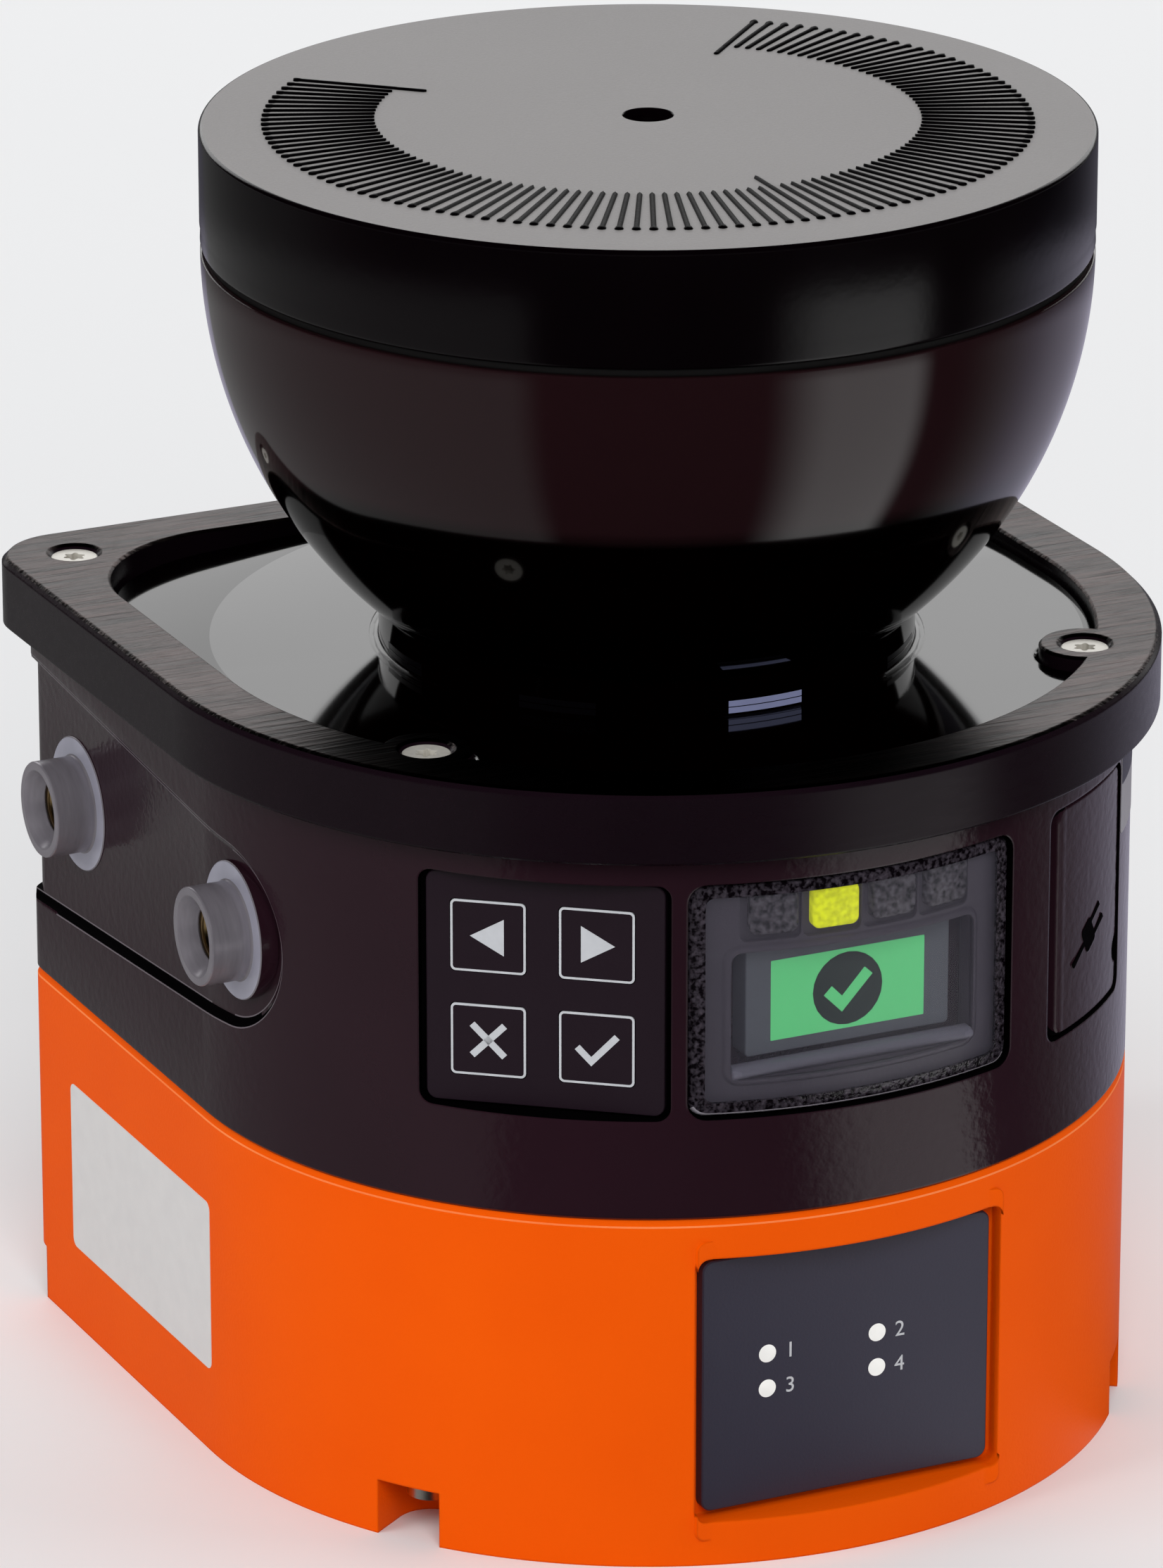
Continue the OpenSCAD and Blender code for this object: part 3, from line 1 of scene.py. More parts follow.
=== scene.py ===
# %% [markdown]
# # A safety laser scanner
#
# The scanner has an orange connection base, a glossy black housing with a display and keypad, a
# dark clamp plate, and a round scan head on a neck. The frame that is loaded first holds every
# working piece at its real size, so each piece made here takes its places from that frame.

import json
import math

import bmesh
import bpy
from mathutils import Matrix, Vector

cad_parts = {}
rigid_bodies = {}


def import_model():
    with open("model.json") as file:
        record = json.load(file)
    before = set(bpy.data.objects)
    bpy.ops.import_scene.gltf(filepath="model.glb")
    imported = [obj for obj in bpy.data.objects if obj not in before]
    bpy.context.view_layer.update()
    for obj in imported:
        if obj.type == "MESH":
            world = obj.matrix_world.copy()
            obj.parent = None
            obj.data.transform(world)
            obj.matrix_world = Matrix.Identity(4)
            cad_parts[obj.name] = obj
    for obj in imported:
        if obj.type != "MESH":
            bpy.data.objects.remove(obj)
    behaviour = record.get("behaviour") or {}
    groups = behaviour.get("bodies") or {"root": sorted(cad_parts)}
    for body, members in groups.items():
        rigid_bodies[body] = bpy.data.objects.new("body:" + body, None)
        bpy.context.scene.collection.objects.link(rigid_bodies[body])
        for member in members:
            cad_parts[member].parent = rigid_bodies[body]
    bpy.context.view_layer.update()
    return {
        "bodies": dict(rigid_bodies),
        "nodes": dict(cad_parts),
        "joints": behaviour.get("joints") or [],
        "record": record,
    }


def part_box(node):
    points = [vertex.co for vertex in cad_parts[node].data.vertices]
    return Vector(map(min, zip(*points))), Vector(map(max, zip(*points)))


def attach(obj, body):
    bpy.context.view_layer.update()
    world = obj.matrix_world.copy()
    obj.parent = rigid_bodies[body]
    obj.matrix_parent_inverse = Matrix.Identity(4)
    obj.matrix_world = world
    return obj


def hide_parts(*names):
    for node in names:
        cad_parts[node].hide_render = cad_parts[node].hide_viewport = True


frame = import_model()
print("nodes in the frame:", len(frame["nodes"]))

# %% [markdown]
# ## Units and sizes
#
# Machine parts are drawn in millimetres, and Blender works in metres. Every size below is written
# in millimetres, and one helper turns a list of points into a mesh in metres. The levels are read
# from the frame, so a piece made here always meets its neighbours.

# %% Sizes in millimetres
MM = 0.001


def box_mm(node):
    """Lowest and highest corners of a node of the frame, in millimetres."""
    low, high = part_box(node)
    return low / MM, high / MM


base_high, housing_high, plate_high, cover_high = [
    box_mm(node)[1] for node in ("base_housing", "main_housing", "clamp_plate", "optics_cover")]
cap_low, cap_high = box_mm("head_cap")

BODY_RADIUS, BODY_BACK, BODY_CORNER = base_high.x, base_high.y, 5.0
PLATE_RADIUS, PLATE_BACK, PLATE_CORNER = plate_high.x, plate_high.y, 8.0
OPENING_RADIUS, OPENING_BACK, OPENING_CORNER, LUG_RADIUS = 48.8, 48.0, 17.0, 5.0
WALL = 3.0

BASE_TOP, HOUSING_TOP, PLATE_TOP = base_high.z, housing_high.z, plate_high.z
DECK_TOP = PLATE_TOP - 1.5
SEAM_LOW, SEAM_HIGH = cover_high.z, cap_low.z

FIELD_LOW = BASE_TOP + 11.3
FIELD_HEIGHT = 26.4
FIELD_MIDDLE = FIELD_LOW + FIELD_HEIGHT / 2
FIELD_CENTRE = (0, FIELD_MIDDLE)
COVER_HEIGHT = FIELD_HEIGHT - 0.6
BUSH_LEVEL = BASE_TOP + 23.5
BUSH_PLACES = [(-1, -6.8), (-1, 36.5), (1, 5.0), (1, 36.5)]

KEYPAD_ANGLE = -37.8
SERVICE_ANGLE = 38.77
SERVICE_FACE = BODY_RADIUS - 0.2
HINGE_X = -6.5

SCREW_PITCH, SCREW_ANGLE = 48.0, math.radians(54.5)
FRONT_SCREWS = [(s * SCREW_PITCH * math.sin(SCREW_ANGLE), -SCREW_PITCH * math.cos(SCREW_ANGLE))
                for s in (-1, 1)]
BACK_SCREWS = [(s * 47.8, 47.3) for s in (-1, 1)]
SCREW_PLACES = FRONT_SCREWS + BACK_SCREWS
print("levels:", [round(v, 2) for v in (BASE_TOP, HOUSING_TOP, PLATE_TOP, SEAM_LOW, SEAM_HIGH)])

# %% [markdown]
# ## Mesh helpers
#
# Most pieces of this scanner are prisms over a rounded outline, or turned shapes. A `loft` joins a
# stack of outlines into a closed solid, and `turned` spins a half section round an axis. Holes and
# recesses are cut with the Boolean modifier, as a milling cutter would cut them.

# %% Build meshes from points
def new_object(name, mesh):
    obj = bpy.data.objects.new(name, mesh)
    bpy.context.scene.collection.objects.link(obj)
    return obj


def edit(mesh, *steps):
    """Opens a mesh for editing, runs each step on it, and writes it back."""
    bm = bmesh.new()
    bm.from_mesh(mesh)
    for step in steps:
        step(bm)
    bm.to_mesh(mesh)
    bm.free()


def outwards(bm):
    bmesh.ops.recalc_face_normals(bm, faces=bm.faces)


def solid(name, points, faces):
    """Object from points in millimetres, with its faces turned outwards."""
    mesh = bpy.data.meshes.new(name)
    mesh.from_pydata([Vector(p) * MM for p in points], [], faces)
    edit(mesh, lambda bm: bmesh.ops.remove_doubles(bm, verts=bm.verts, dist=1e-7), outwards)
    return new_object(name, mesh)


def loft(name, outlines):
    """Closed solid through a list of outlines, which all have the same number of 3-D points."""
    count = len(outlines[0])
    points = [p for outline in outlines for p in outline]
    faces = []
    for layer in range(len(outlines) - 1):
        for i in range(count):
            j = (i + 1) % count
            a, b = layer * count, (layer + 1) * count
            faces.append((a + i, a + j, b + j, b + i))
    faces.append(tuple(reversed(range(count))))
    faces.append(tuple(range((len(outlines) - 1) * count, len(outlines) * count)))
    return solid(name, points, faces)


def prism(name, outline, low, high):
    """Upright solid over one outline."""
    return loft(name, [[(x, y, z) for x, y in outline] for z in (low, high)])


def stack(name, outline, levels):
    """Upright solid whose outline is drawn in by `inset` at each level (inset, z)."""
    return loft(name, [[(x, y, z) for x, y in outline(inset)] for inset, z in levels])


def turned(name, section, steps=256):
    """Solid of revolution about Z from a closed half section of (radius, z) points."""
    points, faces = [], []
    count = len(section)
    for step in range(steps):
        angle = 2 * math.pi * step / steps
        points += [(r * math.cos(angle), r * math.sin(angle), z) for r, z in section]
    for step in range(steps):
        a, b = step * count, ((step + 1) % steps) * count
        for i in range(count):
            j = (i + 1) % count
            faces.append((a + i, b + i, b + j, a + j))
    piece = solid(name, points, faces)
    edit(piece.data, lambda bm: bmesh.ops.dissolve_degenerate(bm, dist=1e-8, edges=bm.edges),
         outwards)
    return piece


def arc(centre, radius, start, end, steps):
    """Points of an arc, with its angles in degrees."""
    angles = [math.radians(start + (end - start) * i / steps) for i in range(steps + 1)]
    return [(centre[0] + radius * math.cos(a), centre[1] + radius * math.sin(a)) for a in angles]


def column(place, radius, low, high):
    """Upright round column; its outline stops one step short of a full turn."""
    return prism("column", arc(place, radius, 0, 352.5, 47), low, high)


def back_corners(radius, back, corner, steps):
    """The two round corners at the back of an outline."""
    side, rear = radius - corner, back - corner
    return arc((side, rear), corner, 0, 90, steps) + arc((-side, rear), corner, 90, 180, steps)


def d_outline(radius, back, corner):
    """Round front, straight sides and a flat back with round corners."""
    return arc((0, 0), radius, 180, 360, 180) + back_corners(radius, back, corner, 14)


def body_outline(inset=0.0):
    return d_outline(BODY_RADIUS - inset, BODY_BACK - inset, BODY_CORNER - inset)


def plate_outline(inset=0.0):
    return d_outline(PLATE_RADIUS - inset, PLATE_BACK - inset, PLATE_CORNER - inset)


def opening_outline(inset=0.0):
    """Outline of the plate's opening, with its two lugs round the front screws."""
    radius, lug = OPENING_RADIUS - inset, LUG_RADIUS + inset
    half = math.degrees(math.acos((radius ** 2 + SCREW_PITCH ** 2 - lug ** 2)
                                  / (2 * radius * SCREW_PITCH)))
    middle = math.degrees(SCREW_ANGLE)
    points = arc((0, 0), radius, 180, 270 - middle - half, 40)
    for place, turn in zip(FRONT_SCREWS, (-1, 1)):
        ends = [Vector(arc((0, 0), radius, a, a, 1)[0])
                for a in (270 + turn * middle - half, 270 + turn * middle + half)]
        start, end = [math.degrees(math.atan2(e.y - place[1], e.x - place[0])) for e in ends]
        while end > start:
            end -= 360
        points += arc(place, lug, start, end, 24)
        if turn < 0:
            points += arc((0, 0), radius, 270 - middle + half, 270 + middle - half, 120)
    points += arc((0, 0), radius, 270 + middle + half, 360, 40)
    return points + back_corners(radius, OPENING_BACK - inset, OPENING_CORNER - inset, 24)


def rounded_rect(width, height, corner, steps=6):
    """Rectangle with round corners about (0, 0)."""
    x, y = width / 2 - corner, height / 2 - corner
    points = arc((x, y), corner, 0, 90, steps) + arc((-x, y), corner, 90, 180, steps)
    return points + arc((-x, -y), corner, 180, 270, steps) + arc((x, -y), corner, 270, 360, steps)


def facing(angle):
    """Turns local axes so that -Y points outwards at the given angle from the front."""
    return Matrix.Rotation(math.radians(angle), 4, "Z")


def tablet(name, middle, levels, angle=0.0):
    """Block that faces outwards: levels are (distance, width, height, corner) about `middle`."""
    outlines = []
    turn = facing(angle)
    for distance, width, height, corner in levels:
        flat = rounded_rect(width, height, corner)
        outlines.append([turn @ Vector((middle[0] + x, -distance, middle[1] + z)) for x, z in flat])
    return loft(name, outlines)


def slab(name, middle, reach, size, angle=0.0):
    """Tablet of one size (width, height, corner) between two distances."""
    return tablet(name, middle, [(distance, *size) for distance in reach], angle)


def bent_plate(name, width, height, corner, middle, near, far, edge=0.0, angle=0.0, columns=40):
    """Curved plate with a rounded outline, made of upright columns so that it stays curved."""
    def column_heights(x, inset):
        half, tall = width / 2 - inset, height / 2 - inset
        over = abs(x) - (half - corner)
        drop = corner - math.sqrt(max(corner ** 2 - over ** 2, 0)) if over > 0 else 0
        return middle - tall + drop, middle + tall - drop

    def row_points(radius, inset):
        half = width / 2 - inset
        xs = [half * math.sin(math.pi / 2 * (2 * i / columns - 1)) for i in range(columns + 1)]
        return [[(x, -math.sqrt(radius ** 2 - x * x), z) for z in column_heights(x, inset)]
                for x in xs]

    layers = [row_points(near, 0.0), row_points(far - edge, 0.0)]
    if edge:
        layers.append(row_points(far, edge))
    points, faces = [p for layer in layers for row in layer for p in row], []
    span = 2 * (columns + 1)
    for number in range(len(layers) - 1):
        a, b = number * span, (number + 1) * span
        for i in range(columns):
            k = 2 * i
            faces.append((a + k, a + k + 2, b + k + 2, b + k))
            faces.append((a + k + 1, b + k + 1, b + k + 3, a + k + 3))
        faces.append((a, b, b + 1, a + 1))
        faces.append((a + span - 2, a + span - 1, b + span - 1, b + span - 2))
    last = (len(layers) - 1) * span
    for i in range(columns):
        k = 2 * i
        faces.append((k, k + 1, k + 3, k + 2))
        faces.append((last + k, last + k + 2, last + k + 3, last + k + 1))
    piece = solid(name, points, faces)
    piece.data.transform(facing(angle))
    return piece


# %% [markdown]
# ## Cutting and shading helpers
#
# A Boolean on finely stepped walls leaves long flat strips. Smooth shading alone would ripple over
# them, so the walls that lie on a known circle get exact normals from that circle's centre.

# %% Cut, join and shade
def carve(body, cutters, operation="DIFFERENCE"):
    """Applies each cutter to the body and deletes the cutter."""
    for cutter in cutters:
        modifier = body.modifiers.new("carve", "BOOLEAN")
        modifier.object = cutter
        modifier.operation = operation
        modifier.solver = "EXACT"
    baked = baked_mesh(body)
    body.modifiers.clear()
    body.data = baked
    for cutter in cutters:
        bpy.data.objects.remove(cutter)
    return body


def baked_mesh(obj):
    """Mesh of an object with its modifiers applied."""
    bpy.context.view_layer.update()
    graph = bpy.context.evaluated_depsgraph_get()
    return bpy.data.meshes.new_from_object(obj.evaluated_get(graph), depsgraph=graph)


def join(name, pieces):
    """One object that holds the meshes of several, with their materials kept."""
    bm = bmesh.new()
    materials = []
    for piece in pieces:
        slots = []
        for material in piece.data.materials:
            if material not in materials:
                materials.append(material)
            slots.append(materials.index(material))
        start = len(bm.faces)
        bm.from_mesh(piece.data)
        bm.faces.ensure_lookup_table()
        for face in bm.faces[start:]:
            if slots:
                face.material_index = slots[min(face.material_index, len(slots) - 1)]
    mesh = bpy.data.meshes.new(name)
    bm.to_mesh(mesh)
    bm.free()
    for material in materials:
        mesh.materials.append(material)
    for piece in pieces:
        bpy.data.objects.remove(piece)
    return new_object(name, mesh)


def round_normals(mesh, radii):
    """Exact normals on the upright walls round the front that lie on a known circle."""
    normals = [Vector(c.vector) for c in mesh.corner_normals]
    for polygon in mesh.polygons:
        if abs(polygon.normal.z) > 0.05:
            continue
        for corner in polygon.loop_indices:
            place = mesh.vertices[mesh.loops[corner].vertex_index].co
            reach = math.hypot(place.x, place.y)
            if place.y > 1e-6 or not any(abs(reach - r * MM) < 4e-6 for r in radii):
                continue
            radial = Vector((place.x, place.y, 0)) / reach
            side = radial.dot(polygon.normal)
            if abs(side) > 0.99:
                normals[corner] = radial * (1 if side > 0 else -1)
    mesh.normals_split_custom_set(normals)


def smooth(obj, limit=32.0, radii=()):
    """Smooth shading up to an angle, with exact normals on upright walls of the given radii."""
    def mark_sharp(bm):
        bmesh.ops.remove_doubles(bm, verts=bm.verts, dist=2e-6)
        for edge in bm.edges:
            two = len(edge.link_faces) == 2
            edge.smooth = two and edge.calc_face_angle(0) < math.radians(limit)
        for face in bm.faces:
            face.smooth = True

    edit(obj.data, mark_sharp)
    if radii:
        round_normals(obj.data, radii)
    return obj


def dress(obj, material):
    obj.data.materials.clear()
    obj.data.materials.append(material)
    return obj


def paint(obj, material, chosen):
    """Gives a second finish to the faces whose middle (in millimetres) and normal are chosen."""
    obj.data.materials.append(material)
    number = len(obj.data.materials) - 1
    for polygon in obj.data.polygons:
        if chosen(polygon.center / MM, polygon.normal):
            polygon.material_index = number
    return obj


def fit(piece, body, node):
    """Hangs a piece on its body, in place of a node of the frame, and prints its count of faces."""
    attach(piece, body)
    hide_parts(node)
    print(node + ":", len(piece.data.polygons), "faces")


# %% [markdown]
# ## Shader helpers
#
# A procedural finish is arithmetic on positions and noise. `Wire` wraps a socket, so that `0.4 +
# 0.1 * noise` adds the Math nodes by itself, and `Finish.node` adds any other node.

# %% Shader arithmetic
def operation(kind, swapped=False):
    """Method that adds a Math node of one kind."""
    def apply(self, *other):
        terms = (*other, self) if swapped else (self, *other)
        return self.finish.node("ShaderNodeMath", {"operation": kind}, dict(enumerate(terms)))[0]
    return apply


class Wire:
    """A socket of a shader tree that can be used in sums and products."""

    def __init__(self, finish, socket):
        self.finish, self.socket = finish, socket

    __add__, __radd__ = operation("ADD"), operation("ADD", True)
    __sub__, __rsub__ = operation("SUBTRACT"), operation("SUBTRACT", True)
    __mul__, __rmul__ = operation("MULTIPLY"), operation("MULTIPLY", True)
    above, below = operation("GREATER_THAN"), operation("LESS_THAN")
    maximum, absolute = operation("MAXIMUM"), operation("ABSOLUTE")
    sine, root = operation("SINE"), operation("SQRT")


class Finish:
    """A material with one Principled shader, whose nodes are added by name."""

    def __init__(self, name, **constants):
        self.material = bpy.data.materials.new(name)
        self.material.use_nodes = True
        self.tree = self.material.node_tree
        self.shader = self.tree.nodes["Principled BSDF"]
        self.set(**constants)

    def set(self, **values):
        """Sets or links sockets of the shader; Base_Color stands for "Base Color"."""
        for name, value in values.items():
            self._feed(self.shader.inputs[name.replace("_", " ")], value)

    def _feed(self, socket, value):
        if isinstance(value, Wire):
            self.tree.links.new(value.socket, socket)
        elif isinstance(value, (tuple, list)) and len(value) == 3 and socket.type == "RGBA":
            socket.default_value = (*value, 1.0)
        else:
            socket.default_value = value

    def node(self, kind, settings=None, values=None):
        """Adds a node, sets it up, feeds its sockets, and returns its outputs as wires."""
        node = self.tree.nodes.new(kind)
        for key, value in (settings or {}).items():
            if key == "stops":
                ramp = node.color_ramp
                for index, (place, colour) in enumerate(value):
                    stop = ramp.elements[index] if index < 2 else ramp.elements.new(place)
                    stop.position = place
                    stop.color = (*colour, 1.0)
            else:
                setattr(node, key, value)
        for key, value in (values or {}).items():
            self._feed(node.inputs[key], value)
        return [Wire(self, output) for output in node.outputs]

    def place(self):
        return self.node("ShaderNodeTexCoord")[3]

    def xyz(self):
        return self.node("ShaderNodeSeparateXYZ", values={0: self.place()})

    def noise(self, scale, detail=3.0, stretch=(1, 1, 1)):
        """Noise at a number of cells a metre, stretched along the axes."""
        mapped = self.node("ShaderNodeMapping", {}, {"Vector": self.place(), "Scale": stretch})[0]
        return self.node("ShaderNodeTexNoise", {},
                         {"Vector": mapped, "Scale": scale, "Detail": detail})[0]

    def mix(self, mask, first, second):
        return self.node("ShaderNodeMix", {"data_type": "RGBA"}, {0: mask, 6: first, 7: second})[2]

    def tones(self, mask, first, second):
        """Mix of two screen colours, each as three 0-255 values."""
        return self.mix(mask, srgb(*first), srgb(*second))

    def ramp(self, value, start, end, **settings):
        """Rise from 0 to 1 between two values."""
        return self.node("ShaderNodeMapRange", settings,
                         {"Value": value, "From Min": start, "From Max": end})[0]

    def relief(self, height, distance, edge=0.0, strength=1.0):
        """Bump in metres, over edges that look rounded by the given radius in metres."""
        values = {"Height": height, "Distance": distance, "Strength": strength}
        if edge:
            values["Normal"] = self.node("ShaderNodeBevel", {"samples": 6}, {"Radius": edge})[0]
        self.set(Normal=self.node("ShaderNodeBump", {}, values)[0])


def srgb(red, green, blue):
    """Linear colour from the 0-255 values that a screen shows."""
    def linear(v):
        v /= 255
        return v / 12.92 if v <= 0.04045 else ((v + 0.055) / 1.055) ** 2.4
    return (linear(red), linear(green), linear(blue))


# %% [markdown]
# ## Finishes
#
# The orange base is a fine-grained moulding with a soft sheen. The black housing is glossier, with
# the slight orange peel of a lacquered casting. Both get a little change of colour and roughness.

# %% Plastics
def two_tone(name, tone, dark, light, roughness=None, bump=None, edge=0.0, **constants):
    """Finish of two tones mixed by noise.

    `tone` holds what noise() takes, `roughness` is (least, spread, noise), and `bump` is
    (height in metres, noise).
    """
    finish = Finish(name, **constants)
    finish.set(Base_Color=finish.tones(finish.noise(*tone), dark, light))
    if roughness:
        least, spread, grain = roughness
        finish.set(Roughness=least + spread * finish.noise(*grain))
    if bump:
        height, grain = bump
        finish.relief(finish.noise(*grain), height, edge=edge)
    return finish.material


def lifted(colour, step):
    """A screen colour that is paler by one step in each channel."""
    return [channel + step for channel in colour]


def orange_plastic():
    finish = Finish("orange plastic", IOR=1.12)
    tone = finish.noise(60, 2)
    grain = finish.noise(2600, 2)
    height = finish.xyz()[2]
    # Painted highlight: a pale line just under the top chamfer, where the edge would catch the
    # light
    edge = height.above((BASE_TOP - 0.85) * MM) - height.above((BASE_TOP - 0.66) * MM)
    face = finish.tones(tone, (226, 80, 1), (233, 88, 2))
    finish.set(Base_Color=finish.mix(edge * (0.25 + 0.6 * tone), face, srgb(246, 150, 92)),
               Roughness=0.38 + 0.1 * grain)
    finish.relief(grain, 0.00003, edge=0.0004)
    return finish.material


def matt_black(name="matt black plastic", colour=(30, 28, 30), roughness=0.5, ior=1.35):
    grain = (2200, 3)
    return two_tone(name, (50,), colour, lifted(colour, 6), (roughness, 0.12, grain),
                    (0.00003, grain), 0.0003, IOR=ior)


# %% [markdown]
# The optics cover is moulded from a plastic that looks black and lets only infrared light through.
# Its polish is what shows, so it has a very low roughness with faint cloudiness.

# %% Optics plastic and cap
# Heights, in metres, between which the bowl's colour fades from black to dark red, a painted
# light that shines through the upper bowl
BOWL_LIGHT_LOW, BOWL_LIGHT_HIGH = 0.1115, 0.1135


def optics_plastic(name="infrared-clear plastic", ior=1.5):
    finish = Finish(name, IOR=ior)
    cloud = finish.noise(30, 3)
    # Painted light: dark red on the upper bowl, black below it
    rise = finish.ramp(finish.xyz()[2], BOWL_LIGHT_LOW, BOWL_LIGHT_HIGH)
    finish.set(Base_Color=finish.tones(rise * (0.8 + 0.2 * cloud), (1, 0, 0), (27, 11, 14)),
               Roughness=0.04 + 0.05 * cloud)
    finish.relief(finish.noise(90, 1), 0.000004, edge=0.0003)
    return finish.material


# %% [markdown]
# The clamp plate is milled and brushed along X, then darkened. The streaks are noise that is drawn
# out along X, in the colour, the roughness and the relief, and they show only on the flat top.

# %% Metals
def plate_metal():
    finish = Finish("brushed dark metal", IOR=1.28)
    streaks = finish.noise(1300, 4, (0.05, 1, 1))
    blotch = finish.noise(220, 3, (0.25, 1, 1))
    top = finish.xyz()[2].above((PLATE_TOP - 0.3) * MM)
    contrast = ((streaks * 0.65 + blotch * 0.35) - 0.36) * 3.4
    brushed = finish.tones(contrast, (10, 7, 7), (78, 64, 62))
    side = finish.tones(finish.noise(80), (15, 6, 12), (21, 10, 17))
    finish.set(Base_Color=finish.mix(top, side, brushed), Metallic=top,
               Roughness=0.22 + 0.12 * streaks + 0.04 * top)
    finish.relief(streaks * top, 0.00016, edge=0.0003)
    return finish.material


def ringed_metal(name, colour, roughness, lift, **constants):
    """Metal with the fine rings that the lathe leaves."""
    rings = (2500, 2, (1, 0.12, 0.12))
    return two_tone(name, rings, colour, lifted(colour, lift), (roughness, 0.12, rings),
                    (0.00001, rings), 0.0002, **constants)


def turned_metal(name, colour, roughness=0.24):
    return ringed_metal(name, colour, roughness, 22, Metallic=1.0)


def bush_metal(name="satin nickel", colour=(120, 115, 122)):
    """Satin nickel: half metal, so that it stays pale where it mirrors the dark housing."""
    return ringed_metal(name, colour, 0.25, 26, Metallic=0.45, IOR=1.8)


def screw_steel(name="zinc-plated steel", metallic=1.0):
    speck = (1400, 3)
    return two_tone(name, speck, (196, 192, 184), (226, 222, 212), (0.25, 0.2, speck),
                    (0.00001, speck), 0.0001, Metallic=metallic)


# %% [markdown]
# The small parts each have their own finish: the dark panel film with printed marks, the lit
# screen, the grained signal lenses, the light guides and the clear display cover.

# %% Panels, prints and lights
SCREEN_PITCH = 0.00014


def panel_film(name, colour):
    grain = (3000, 3)
    return two_tone(name, (60,), colour, lifted(colour, 5), (0.42, 0.12, grain), (0.00002, grain),
                    IOR=1.4)


def print_ink(name, colour):
    return two_tone(name, (900,), colour, [c * 0.93 for c in colour], IOR=1.4, Roughness=0.5)


def lit_screen():
    finish = Finish("lit screen", Roughness=0.25)
    x, _, z = finish.xyz()
    waves = 2 * math.pi / SCREEN_PITCH
    lines = ((x * waves).sine() * (z * waves).sine()) * 0.5 + 0.5
    colour = finish.tones(lines, (76, 186, 112), (88, 198, 122))
    finish.set(Base_Color=colour, Emission_Color=colour, Emission_Strength=0.35)
    return finish.material


def glow(name, colour, strength, base=None):
    """Milky light guide that glows a little."""
    finish = Finish(name, Roughness=0.3, Emission_Strength=strength)
    tone = finish.noise(500, 2)
    lit = finish.tones(tone, colour, [c * 0.9 for c in colour])
    finish.set(Base_Color=lit if base is None else srgb(*base), Emission_Color=lit)
    return finish.material


def grained_lens(name, colour, strength=0.0, darkest=0.85):
    """Signal lens with a coarse sparkling grain."""
    finish = Finish(name, IOR=1.3, Emission_Strength=strength)
    grain = finish.noise(1500, 2)
    lit = finish.tones((grain - 0.35) * 3.3, [c * darkest for c in colour], colour)
    finish.set(Base_Color=lit, Emission_Color=lit, Roughness=0.12 + 0.1 * grain)
    finish.relief(grain, 0.00012, edge=0.0003)
    return finish.material


def clear_plastic():
    finish = Finish("clear plastic", IOR=1.45)
    haze, grain = finish.noise(25, 2), finish.noise(1900, 2)
    x, _, z = finish.xyz()
    side = (x.absolute() - (18.8 - 2.6) * MM).maximum(0)
    rise = ((z - FIELD_MIDDLE * MM).absolute() - (12.9 - 2.35) * MM).maximum(0)
    border = (side * side + rise * rise).root().above(0.95 * MM)
    speckle = finish.tones((grain - 0.4) * 3.0, (8, 4, 8), (66, 60, 68))
    finish.set(Base_Color=finish.mix(border, srgb(90, 88, 98), speckle),
               Alpha=border.maximum(0.1 + 0.05 * haze), Roughness=0.04 + 0.14 * border)
    finish.relief(grain * border, 0.00012, edge=0.0004)
    finish.material.surface_render_method = "BLENDED"
    return finish.material


def board_green():
    finish = Finish("circuit board", Roughness=0.35)
    tracks = finish.noise(700, 0, (1, 0.2, 1)).above(0.55)
    finish.set(Base_Color=finish.tones(tracks, (18, 84, 52), (30, 112, 66)))
    return finish.material


# %% [markdown]
# Each finish is made once, and the pieces share it, as parts of a real product share a batch of
# plastic or a plating bath.

# %% Make the finishes
ORANGE = orange_plastic()
LACQUER = two_tone("black lacquer", (45, 2), (30, 14, 21), (37, 19, 27),
                   (0.1, 0.1, (300, 2)), (0.00005, (900, 2)), 0.00035, IOR=1.38)
MATT = matt_black()
OPTICS = optics_plastic()
OPTICS_SLOPE = optics_plastic("infrared-clear plastic, sloping", 1.33)
CAP = two_tone("cap plastic", (40,), (2, 0, 1), (6, 2, 4), (0.12, 0.08, (120,)),
               (0.000008, (700, 2)), 0.0003, IOR=1.36)
# Painted sheen: grey on the black cap's top face, for the light above that it mirrors; the grain is
# real
CAP_TOP_SHEEN = two_tone("grained cap top, painted sheen", (25, 2), (134, 131, 130), (141, 138, 137),
                   (0.5, 0.15, (3200, 4)), (0.00005, (3200, 4)), IOR=1.45)
RIB = matt_black("matt black ribs", (1, 0, 1), 0.3, 1.08)
# Near-black of painted shade, on the pad ledges, the front recesses and the door's hinge barrel;
# the door's plug print uses it too
SHADE_AND_PRINT_BLACK = matt_black("black of painted shade and print", (1, 0, 1), 0.6, 1.05)
PAD_EDGE_HIGHLIGHT = matt_black("painted edge highlight", (96, 88, 93), 0.3)
PLATE = plate_metal()
BUSH = bush_metal()
DISC = bush_metal("pale nickel", (168, 167, 182))
TURNED = turned_metal("turned bush metal", (150, 148, 152), 0.2)
BRASS = turned_metal("turned brass", (188, 158, 106))
STEEL = screw_steel()
SCREW_HEAD = screw_steel("bright zinc", 0.3)
FILM = panel_film("indicator film", (46, 44, 58))
KEY_FILM = panel_film("keypad film", (30, 18, 27))
INK = print_ink("pale print", (190, 192, 196))
DARK_INK = print_ink("dark print", (24, 44, 36))
SCREEN = lit_screen()
CLEAR = clear_plastic()
RUBBER = matt_black("seal rubber", (16, 15, 15), 0.6)
BOARD = board_green()
